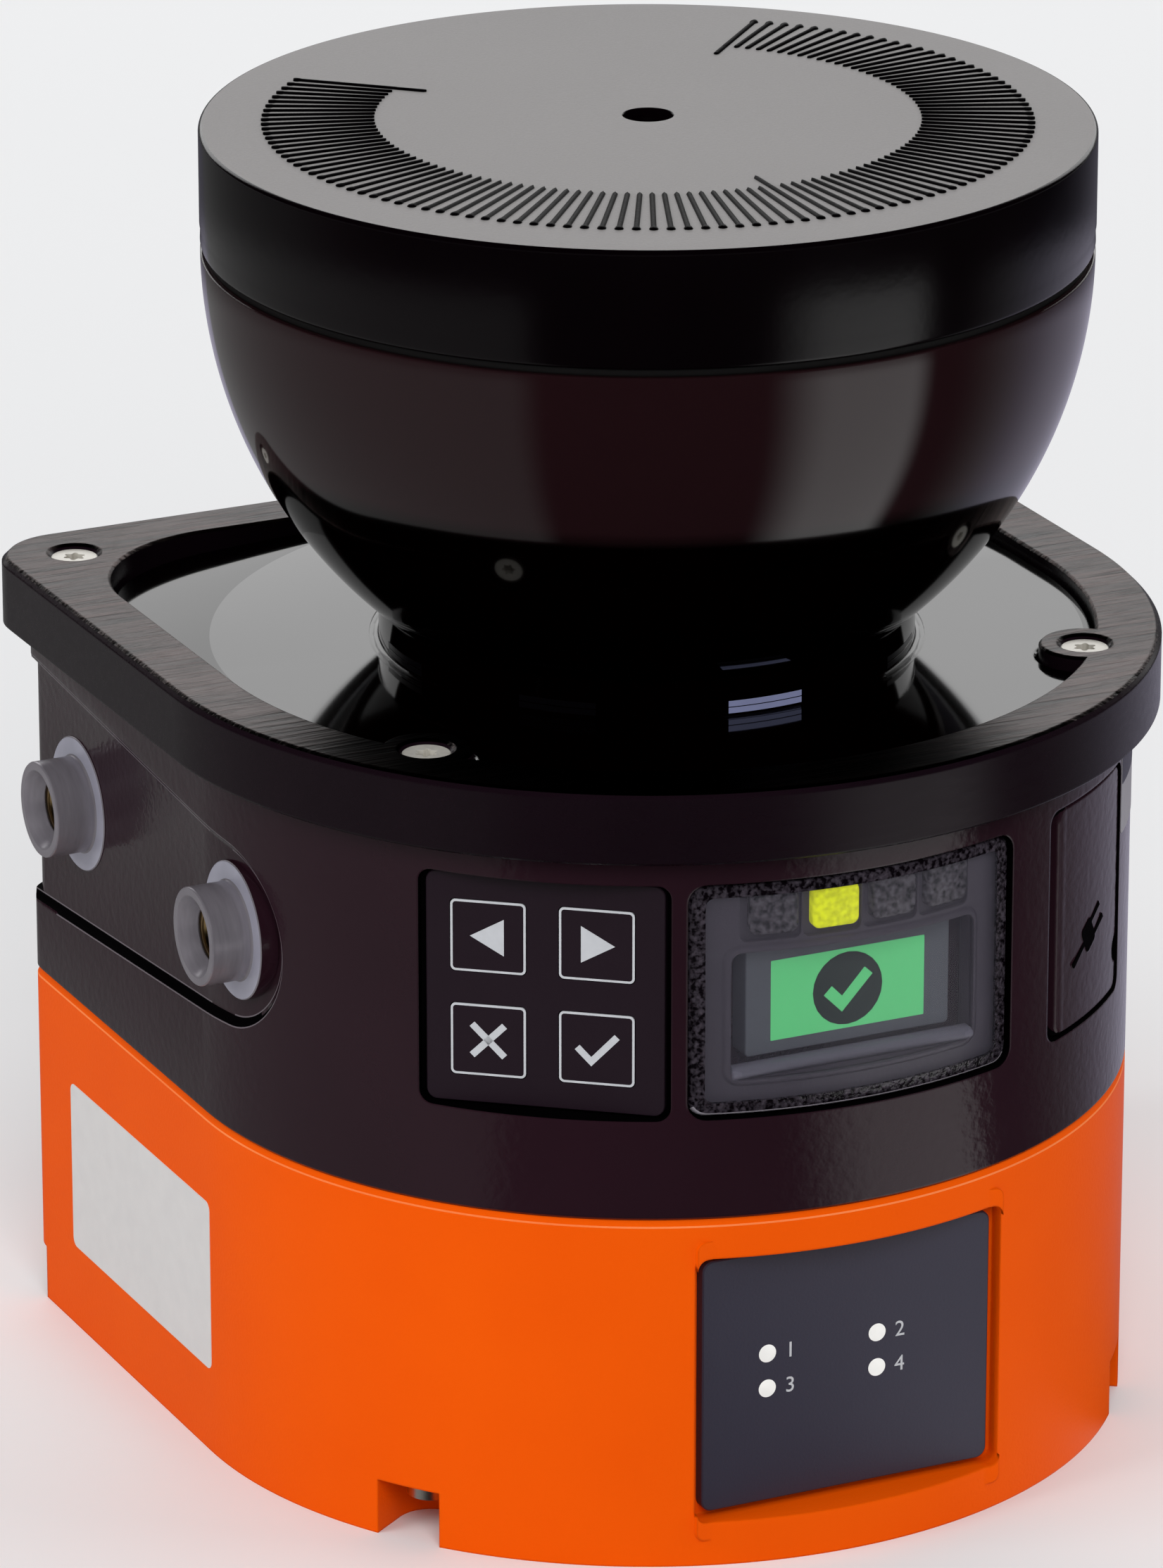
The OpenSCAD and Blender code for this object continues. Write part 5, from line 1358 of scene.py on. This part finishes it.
def make_key(name):
    centre = KEY_CENTRES[name]

    def size(margin, corner):
        return KEY_WIDTH + margin, KEY_HEIGHT + margin, corner

    levels = [(49.1, *size(2 * KEY_FLANGE, 0.6)), (49.68, *size(2 * KEY_FLANGE, 0.6)),
              (49.69, *size(0, 0.6)), (KEY_FACE - 0.12, *size(0, 0.6)),
              (KEY_FACE, *size(-0.24, 0.5))]
    body = dress(smooth(tablet(name + " cap", centre, levels, KEYPAD_ANGLE)), KEY_FILM)
    frame_outline, frame_hole = rounded_rect(*size(-0.02, 0.55)), rounded_rect(*size(-0.5, 0.35))
    prints = [printed("outline", frame_outline, centre, KEY_FACE, KEYPAD_ANGLE, frame_hole)]
    prints += [printed("symbol", shape, centre, KEY_FACE, KEYPAD_ANGLE) for shape in SYMBOLS[name]]
    fit(join(name + "_piece", [body, *prints]), name, name)


def make_keypad_panel():
    panel = tablet("keypad_face", FIELD_CENTRE,
                   [(49.7, 25.6, COVER_HEIGHT, 1.2), (KEY_FACE - 0.1, 25.6, COVER_HEIGHT, 1.2),
                    (KEY_FACE, 25.4, COVER_HEIGHT - 0.2, 1.1)], KEYPAD_ANGLE)
    hole = (KEY_WIDTH + KEY_GAP, KEY_HEIGHT + KEY_GAP, 0.6)
    carve(panel, [slab("hole", centre, (48, 52), hole, KEYPAD_ANGLE)
                  for centre in KEY_CENTRES.values()])
    fit(dress(smooth(panel), KEY_FILM), "housing", "keypad_panel")


make_keypad_panel()
for key_name in KEY_CENTRES:
    make_key(key_name)

# %% [markdown]
# ## Display
#
# Behind the clear curved cover lie a grained bezel, four signal lenses and the screen. The cover
# and bezel follow the housing's curve, so both are lofted between two circles.

# %% Display pieces
DISPLAY_FACE = BODY_RADIUS - 0.5
DISPLAY_WIDTH = 37.6
BEZEL_FACE = DISPLAY_FACE - 2.1
BEZEL_BACK = BEZEL_FACE - 1.5
WINDOW_LOW, WINDOW_HEIGHT, WINDOW_HALF = FIELD_LOW + 3.85, 14.35, 14.3
WINDOW_MIDDLE = WINDOW_LOW + WINDOW_HEIGHT / 2
LENS_MIDDLE = FIELD_LOW + 22.4
LENS_ANGLES = [-10.9, -3.3, 4.3, 11.9]
LIT_LENS = 1
FACE = BODY_RADIUS - 1.5


def window_cutter():
    return slab("window", (0, WINDOW_MIDDLE), (40, 60), (2 * WINDOW_HALF, WINDOW_HEIGHT, 1.2))


def make_clear_cover():
    clear = bent_plate("display_glass", DISPLAY_WIDTH, COVER_HEIGHT, 1.7, FIELD_MIDDLE,
                       DISPLAY_FACE - 0.4, DISPLAY_FACE, 0.3)
    dress(smooth(clear, 50), CLEAR)
    # Painted highlight on the cover's lower edge faces, where its rounded edge catches the light
    paint(clear, GLASS_EDGE_HIGHLIGHT, lambda place, normal: normal.z < -0.3 and normal.y < -0.05)
    fit(clear, "housing", "display_cover")


def make_bezel():
    bezel = bent_plate("bezel", DISPLAY_WIDTH, COVER_HEIGHT, 1.7, FIELD_MIDDLE, BEZEL_BACK, FACE)
    pockets = [slab("pocket", (-0.25, LENS_MIDDLE), (FACE - 0.7, 60), (6.6, 6.3, 0.8), angle)
               for angle in LENS_ANGLES]
    carve(bezel, [window_cutter(), *pockets])
    frame = bent_plate("window frame", 2 * WINDOW_HALF + 1.3, WINDOW_HEIGHT + 1.3, 1.8,
                       WINDOW_MIDDLE, FACE - 0.2, FACE + 0.45, 0.3)
    carve(frame, [window_cutter()])
    # A pale ledge under the window carries the painted reflection of its bottom wall
    ledge = tablet("light ledge", (0, WINDOW_LOW + 0.75),
                   [(BEZEL_BACK, 28.4, 1.4, 0.4), (BEZEL_FACE - 0.4, 28.4, 1.4, 0.4),
                    (BEZEL_FACE, 28.4, 0.5, 0.2)])
    pieces = [dress(smooth(piece, limit), finish) for piece, limit, finish in
              ((bezel, 25, BEZEL), (frame, 60, BEZEL), (ledge, 60, LEDGE_REFLECTION))]
    fit(join("bezel", pieces), "housing", "display_bezel")


def make_lenses():
    levels = [(BEZEL_BACK + 0.2, 5.3, 4.7, 0.9), (FACE + 0.15, 5.3, 4.7, 0.9),
              (FACE + 0.4, 5.1, 4.5, 0.8), (FACE + 0.5, 4.6, 4.0, 0.6)]
    lenses = [dress(smooth(tablet("lens", (0, LENS_MIDDLE), levels, angle), 50),
                    LENS_YELLOW if number == LIT_LENS else LENS_DARK)
              for number, angle in enumerate(LENS_ANGLES)]
    fit(join("signal_lenses", lenses), "housing", "status_lenses")


make_clear_cover()
make_bezel()
make_lenses()

# %% [markdown]
# The screen module lies behind the window. Its lit area, the dark disc and the check mark are thin
# layers that stand a few hundredths of a millimetre over each other, as printed layers would.

# %% Screen
SCREEN_CENTRE = (0, 62.9)


def make_screen():
    low, high = box_mm("display_screen")
    middle = ((low.x + high.x) / 2, (low.z + high.z) / 2)
    face = -low.y
    module = tablet("module", middle, [(face - 3, 24, 12.5, 0.5), (face - 0.1, 24, 12.5, 0.5),
                                       (face, 23.8, 12.3, 0.4)])
    lit = slab("lit area", SCREEN_CENTRE, (face - 0.1, face + 0.02), (18.1, 9.0, 0.1))
    disc = slab("disc", SCREEN_CENTRE, (face - 0.1, face + 0.04), (8.2, 8.2, 4.09))
    sign = printed("sign", tick(4.7, 1.3), (0, 62.85), face + 0.03, 0)
    frame_ink = print_ink("screen frame", (84, 88, 96))
    pieces = [dress(*pair) for pair in ((smooth(module), frame_ink), (lit, SCREEN),
                                        (disc, DARK_INK), (sign, SCREEN))]
    fit(join("screen", pieces), "housing", "display_screen")


make_screen()

# %% [markdown]
# ## Service cover
#
# A small door hides the service socket. It turns on an upright pin at its left side, and a notch on
# its right side gives a finger a hold.

# %% Service cover
# A plain plug: cable, body and two prongs, drawn slanting across the door
PLUG_X = -0.3
PLUG_TURN = Matrix.Rotation(math.radians(30), 2)
PLUG_SHAPES = (bar((-4.6, 0), (-1.2, 0), 0.6), rounded_rect(2.6, 3.4, 0.6),
               bar((1.2, 1.0), (3.8, 1.0), 0.6), bar((1.2, -1.0), (3.8, -1.0), 0.6))
PLUG = [[tuple(PLUG_TURN @ Vector(p)) for p in shape] for shape in PLUG_SHAPES]
DOOR_RIGHT, DOOR_THICKNESS = 9.35, 1.2
BARREL_BORE, BARREL_RADIUS = 0.8, 1.27


def make_service_cover():
    lip = HINGE_X - 1.25
    turn = SERVICE_ANGLE + math.degrees(math.asin((lip + DOOR_RIGHT) / 2 / SERVICE_FACE))
    door = bent_plate("door", DOOR_RIGHT - lip, COVER_HEIGHT, 1.4, FIELD_MIDDLE,
                      SERVICE_FACE - DOOR_THICKNESS, SERVICE_FACE, 0.2, turn)
    low, high = FIELD_MIDDLE - COVER_HEIGHT / 2, FIELD_MIDDLE + COVER_HEIGHT / 2
    barrel = turned("barrel", [(BARREL_BORE, low), (BARREL_RADIUS, low), (BARREL_RADIUS, high),
                               (BARREL_BORE, high)], 48)
    distance = math.sqrt((SERVICE_FACE - 1.35) ** 2 - HINGE_X ** 2)
    place = Matrix.Translation(Vector((HINGE_X, -distance, 0)) * MM)
    barrel.data.transform(facing(SERVICE_ANGLE) @ place)
    carve(door, [slab("notch", (DOOR_RIGHT, FIELD_LOW + 4.8), (45, 55), (3.2, 3.2, 1.59),
                      SERVICE_ANGLE)])
    smooth(door, radii=(SERVICE_FACE,))
    symbol = [dress(printed("plug", shape, (PLUG_X, FIELD_LOW + 9.6), SERVICE_FACE + 0.01,
                            SERVICE_ANGLE), SHADE_AND_PRINT_BLACK) for shape in PLUG]
    # The hinge barrel is painted black as shade, so that it reads as the dark gap left of the door;
    # the plug symbol is print
    cover = join("service_door_piece", [dress(door, LACQUER), dress(smooth(barrel), SHADE_AND_PRINT_BLACK), *symbol])
    fit(cover, "service_door", "service_cover")


make_service_cover()

# %% [markdown]
# ## Indicator panel and labels
#
# The dark panel in the base has four white lights. Plain numbers stand beside them, as a generic
# stand-in for lettering. They are made with a font curve, which is turned into a mesh at once.

# %% Indicator panel
LIGHT_RADIUS = 1.1


def number_print(text, centre, distance, size):
    """A plain number as a thin raised print."""
    curve = bpy.data.curves.new("number", "FONT")
    curve.body = text
    curve.size = size
    curve.extrude = INK_DEPTH
    curve.resolution_u = 4
    holder = new_object("number", curve)
    mesh = baked_mesh(holder)
    bpy.data.objects.remove(holder)
    stand = Matrix.Rotation(math.pi / 2, 4, "X")
    move = Matrix.Translation(Vector((centre[0], -distance, centre[1])))
    mesh.transform(Matrix.Scale(MM, 4) @ move @ stand)
    return dress(new_object("number", mesh), INK)


def make_indicator_panel():
    low, high = box_mm("indicator_panel")
    face = -low.y
    middle = (0, (low.z + high.z) / 2)
    width, height = high.x - low.x, high.z - low.z
    panel = tablet("panel", middle, [(face - 1.5, width, height, 1.2),
                                     (face - 0.15, width, height, 1.2),
                                     (face, width - 0.3, height - 0.3, 1.1)])
    dress(smooth(panel), FILM)
    low, high = box_mm("indicator_lights")
    places = [(x, z) for z in (high.z - LIGHT_RADIUS, low.z + LIGHT_RADIUS)
              for x in (low.x + LIGHT_RADIUS, high.x - LIGHT_RADIUS)]
    numbers = [number_print(str(number), (x + 2.1, z - 0.85), face, 2.5)
               for number, (x, z) in enumerate(places, 1)]
    fit(join("indicator_face", [panel, *numbers]), "housing", "indicator_panel")
    dot = turned("dot", [(0, 0.06), (0.7, 0.05), (1.02, 0.0), (LIGHT_RADIUS, -0.1),
                         (LIGHT_RADIUS, -1.4), (0, -1.4)], 40)
    dot.data.transform(Matrix.Rotation(math.pi / 2, 4, "X"))
    lights = at_points("dots", smooth(dot, 40), [(x, -face, z) for x, z in places], LED)
    fit(lights, "housing", "indicator_lights")


make_indicator_panel()


# %% [markdown]
# Stickers carry the type and approvals on a real device. Here a foil lies on the base's left side,
# and one with a dark band on the right of the housing, its pale foil painted grey as shade. Both
# are left blank.

# %% Blank labels
SIDE_ANGLE = 60.9


def make_label():
    outline = rounded_rect(39.4, 19.8, 1.0)
    sheet = loft("label", [[(-BODY_RADIUS - raised, 19.0 + y, 19.7 + z) for y, z in outline]
                           for raised in (-0.1, 0.06)])
    side = bent_plate("side_label", 20.6, 11.6, 0.6, 74.6, BODY_RADIUS - 0.1, BODY_RADIUS + 0.06,
                      angle=SIDE_ANGLE)
    blank = bent_plate("side_print", 20.4, 5.8, 0.3, 77.4, BODY_RADIUS, BODY_RADIUS + 0.08,
                       angle=SIDE_ANGLE)
    # The right label's pale foil is painted grey, as the shade it lies in at its angle
    grey = print_ink("label foil, painted shade", (150, 147, 152))
    for label, finish in ((sheet, PAPER), (side, grey), (blank, FILM)):
        dress(smooth(label), finish)
        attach(label, "housing")
        print(label.name + ":", len(label.data.polygons), "faces")


make_label()

# %% [markdown]
# ## Lights in the neck
#
# Seven light guides show the scanner's state all round the neck. Only the front one is lit.

# %% Neck lights
def neck_light():
    """Light guide in the neck's wall, centred on the front."""
    low, high = box_mm("neck_lights")
    half = math.radians(8.5)
    points, faces = [], []
    steps = 12
    middle = (low.z + high.z) / 2
    rows = [(28.0, low.z), (29.16, low.z), (29.22, low.z + 0.12), (29.22, middle - 0.06),
            (29.1, middle), (29.22, middle + 0.06), (29.22, high.z - 0.12), (29.16, high.z),
            (28.0, high.z)]
    for step in range(steps + 1):
        angle = -half + 2 * half * step / steps
        points += [(r * math.sin(angle), -r * math.cos(angle), z) for r, z in rows]
    count = len(rows)
    for step in range(steps):
        a, b = step * count, (step + 1) * count
        faces += [(a + i, b + i, b + (i + 1) % count, a + (i + 1) % count) for i in range(count)]
    faces.append(tuple(range(count)))
    faces.append(tuple(steps * count + i for i in reversed(range(count))))
    return smooth(solid("light", points, faces), 25)


groups = [ring(name, neck_light(), count, 45, start, material) for name, count, start, material in
          (("front light", 1, 0, LIGHT_ON), ("left lights", 3, -135, LIGHT_OFF),
           ("right lights", 3, 45, LIGHT_OFF))]
fit(join("neck_lights_piece", groups), "housing", "neck_lights")

# %% [markdown]
# ## Finishes of the remaining pieces
#
# Screws, seals, boards and the parts of the drive keep the frame's own shapes. Each gets its
# finish.

# %% Dress the frame's own pieces
FINISHES = [
    (STEEL, "base_screws bottom_screws network_board_screws chassis_screws hinge_pin "
     "lower_bearing upper_bearing motor_shaft scan_mirror"),
    (RUBBER, "base_seal optics_seal cap_seal"),
    (MATT, "bottom_plate link_plug link_socket power_contacts network_contacts lens_barrel "
     "encoder_reader rotor_magnet mirror_carrier"),
    (BOARD, "indicator_board network_board control_board keypad_board receiver_board "
     "status_light_board"),
    (TURNED, "power_connector network_connector service_socket chassis_plate motor_bracket "
     "motor_can encoder_disc"),
    (BRASS, "board_spacers laser_module motor_windings"),
    (OPTICS, "receiver_lens"),
]
for material, nodes in FINISHES:
    for node_name in nodes.split():
        dress(frame["nodes"][node_name], material)
print("pieces of the frame with a finish:", sum(len(nodes.split()) for _, nodes in FINISHES))

# %% [markdown]
# ## Floor, light and camera
#
# A pale floor and background keep the dark scanner readable. Large soft lamps stand in for a
# studio, and light painted on the floor, which only reflections see, stands in for a lit table:
# these reflections are what draws the shape of glossy black parts.

# %% Floor
FLOOR_HALF = 3000
DEGREES = 57.2958


def make_floor():
    """Pale floor; reflections see painted light on it: lit sectors, nearly black elsewhere."""
    corners = [(x * FLOOR_HALF, y * FLOOR_HALF, 0) for x, y in ((-1, -1), (1, -1), (1, 1), (-1, 1))]
    floor = solid("floor", corners, [(0, 1, 2, 3)])
    finish = Finish("pale floor", Roughness=0.9)
    finish.set(Base_Color=finish.tones(finish.noise(3), (232, 232, 232), (236, 236, 236)))
    x, y, _ = finish.xyz()
    turn = finish.node("ShaderNodeMath", {"operation": "ARCTAN2"}, {0: x, 1: 0.0 - y})[0] * DEGREES
    reach = (x * x + y * y).root()

    def ramp(value, start, end):
        return finish.ramp(value, start, end, interpolation_type="SMOOTHSTEP")

    near = 1.0 - ramp(reach, 0.38, 0.46)
    patch = ramp(turn, 2.0, 22.0) * (1.0 - ramp(turn, 42.0, 50.0)) * 1.1
    right = ramp(turn, 54.0, 104.0) * 0.5
    left = (1.0 - ramp(turn, -60.0, -50.0)) * 0.24
    behind = 0.1 * (1.0 - near) * ramp(turn.absolute(), 90.0, 130.0)
    # Painted light: the floor glows in these sectors, and only the first reflection sees it
    glow_strength = 0.015 + (patch + right + left) * near + behind
    lit = finish.node("ShaderNodeEmission", {}, {"Strength": glow_strength})[0]
    path = finish.node("ShaderNodeLightPath")
    seen_first = path[3] * path[8].below(1.5)
    tint = finish.mix(ramp(turn, 62.0, 90.0), (1.0, 1.0, 1.0), (0.84, 0.8, 1.0))
    finish.tree.links.new(tint.socket, lit.socket.node.inputs["Color"])
    blend = finish.node("ShaderNodeMixShader", {}, {0: seen_first, 2: lit})[0]
    mixer = blend.socket.node
    finish.tree.links.new(finish.shader.outputs[0], mixer.inputs[1])
    finish.tree.links.new(blend.socket, finish.tree.nodes["Material Output"].inputs["Surface"])
    dress(floor, finish.material)


make_floor()
print("floor half width in millimetres:", FLOOR_HALF)

# %% [markdown]
# The world is white to the camera and to the first reflection, and gives the object an even, soft
# light. Later reflections see black, so that the deck and bowl don't mirror each other's haze.

# %% World
def make_world():
    """Pale surroundings for the camera and for first reflections, and soft ambient light."""
    world = bpy.data.worlds.new("studio")
    bpy.context.scene.world = world
    world.use_nodes = True
    tree = world.node_tree
    ambient, seen = tree.nodes["Background"], tree.nodes.new("ShaderNodeBackground")
    path, blend = tree.nodes.new("ShaderNodeLightPath"), tree.nodes.new("ShaderNodeMixShader")

    def maths(operation, first, second):
        node = tree.nodes.new("ShaderNodeMath")
        node.operation = operation
        for socket, value in zip(node.inputs, (first, second)):
            if isinstance(value, float):
                socket.default_value = value
            else:
                tree.links.new(value, socket)
        return node.outputs[0]

    glossy = path.outputs["Is Glossy Ray"]
    shown = maths("MAXIMUM", maths("MAXIMUM", path.outputs["Is Camera Ray"], glossy),
                  path.outputs["Is Transmission Ray"])
    repeated = maths("MULTIPLY", glossy, maths("GREATER_THAN", path.outputs["Ray Depth"], 1.5))
    ambient.inputs["Color"].default_value = (0.96, 0.97, 1.0, 1)
    ambient.inputs["Strength"].default_value = 0.45
    seen.inputs["Color"].default_value = (1, 1, 1, 1)
    tree.links.new(maths("SUBTRACT", 1.0, repeated), seen.inputs["Strength"])
    tree.links.new(shown, blend.inputs[0])
    tree.links.new(ambient.outputs[0], blend.inputs[1])
    tree.links.new(seen.outputs[0], blend.inputs[2])
    tree.links.new(blend.outputs[0], tree.nodes["World Output"].inputs["Surface"])


make_world()
print("world:", bpy.context.scene.world.name)

# %% [markdown]
# Soft boxes light such a product in a studio. Three of them are kept out of reflections, and the
# wide one at the back is mirrored in the glossy plate and bowl, where it draws their shape.

# %% Lamps
def soft_lamp(name, place, aim, width, height, power, mirrored=True):
    """Area lamp at a place, aimed at a point, both in metres."""
    light = bpy.data.lights.new(name, "AREA")
    light.shape = "RECTANGLE"
    light.size, light.size_y = width, height
    light.energy = power
    lamp = bpy.data.objects.new(name, light)
    lamp.visible_glossy = mirrored
    bpy.context.scene.collection.objects.link(lamp)
    lamp.location = place
    lamp.rotation_euler = (Vector(aim) - Vector(place)).to_track_quat("-Z", "Y").to_euler()


HEART = (0, 0, 0.08)
soft_lamp("front key", (-0.4, -1.25, 1.0), HEART, 0.7, 0.7, 11, False)
soft_lamp("left fill", (-1.2, 0.0, 0.7), HEART, 0.7, 0.7, 7, False)
soft_lamp("right fill", (1.1, -0.6, 0.8), HEART, 0.6, 0.6, 4, False)
soft_lamp("back wall", (0.5, 1.05, 0.62), (0, 0, 0.1), 2.0, 0.66, 7.3)
print("lamps:", [light.name for light in bpy.data.lights])

# %% [markdown]
# A long lens from a metre away keeps the upright edges nearly parallel. It looks from the front
# left and a little above, so that the cap's scale, the display and one side are all in view.

# %% Camera
CAMERA_AZIMUTH, CAMERA_ELEVATION = -25.44, 20.1
CAMERA_DISTANCE, CAMERA_LENS = 0.9995, 209.3


def make_camera():
    azimuth, elevation = math.radians(CAMERA_AZIMUTH), math.radians(CAMERA_ELEVATION)
    level = math.cos(elevation)
    back = Vector((math.sin(azimuth) * level, -math.cos(azimuth) * level, math.sin(elevation)))
    right = Vector((math.cos(azimuth), math.sin(azimuth), 0))
    aim = Vector((0, 0, 0.06965)) - right * 0.0071
    data = bpy.data.cameras.new("camera")
    data.lens = CAMERA_LENS
    data.sensor_width = 36
    data.clip_start = 0.01
    camera = bpy.data.objects.new("camera", data)
    bpy.context.scene.collection.objects.link(camera)
    camera.location = aim + back * CAMERA_DISTANCE
    camera.rotation_euler = (-back).to_track_quat("-Z", "Y").to_euler()
    bpy.context.scene.camera = camera


make_camera()
bpy.context.scene.view_settings.view_transform = "Standard"
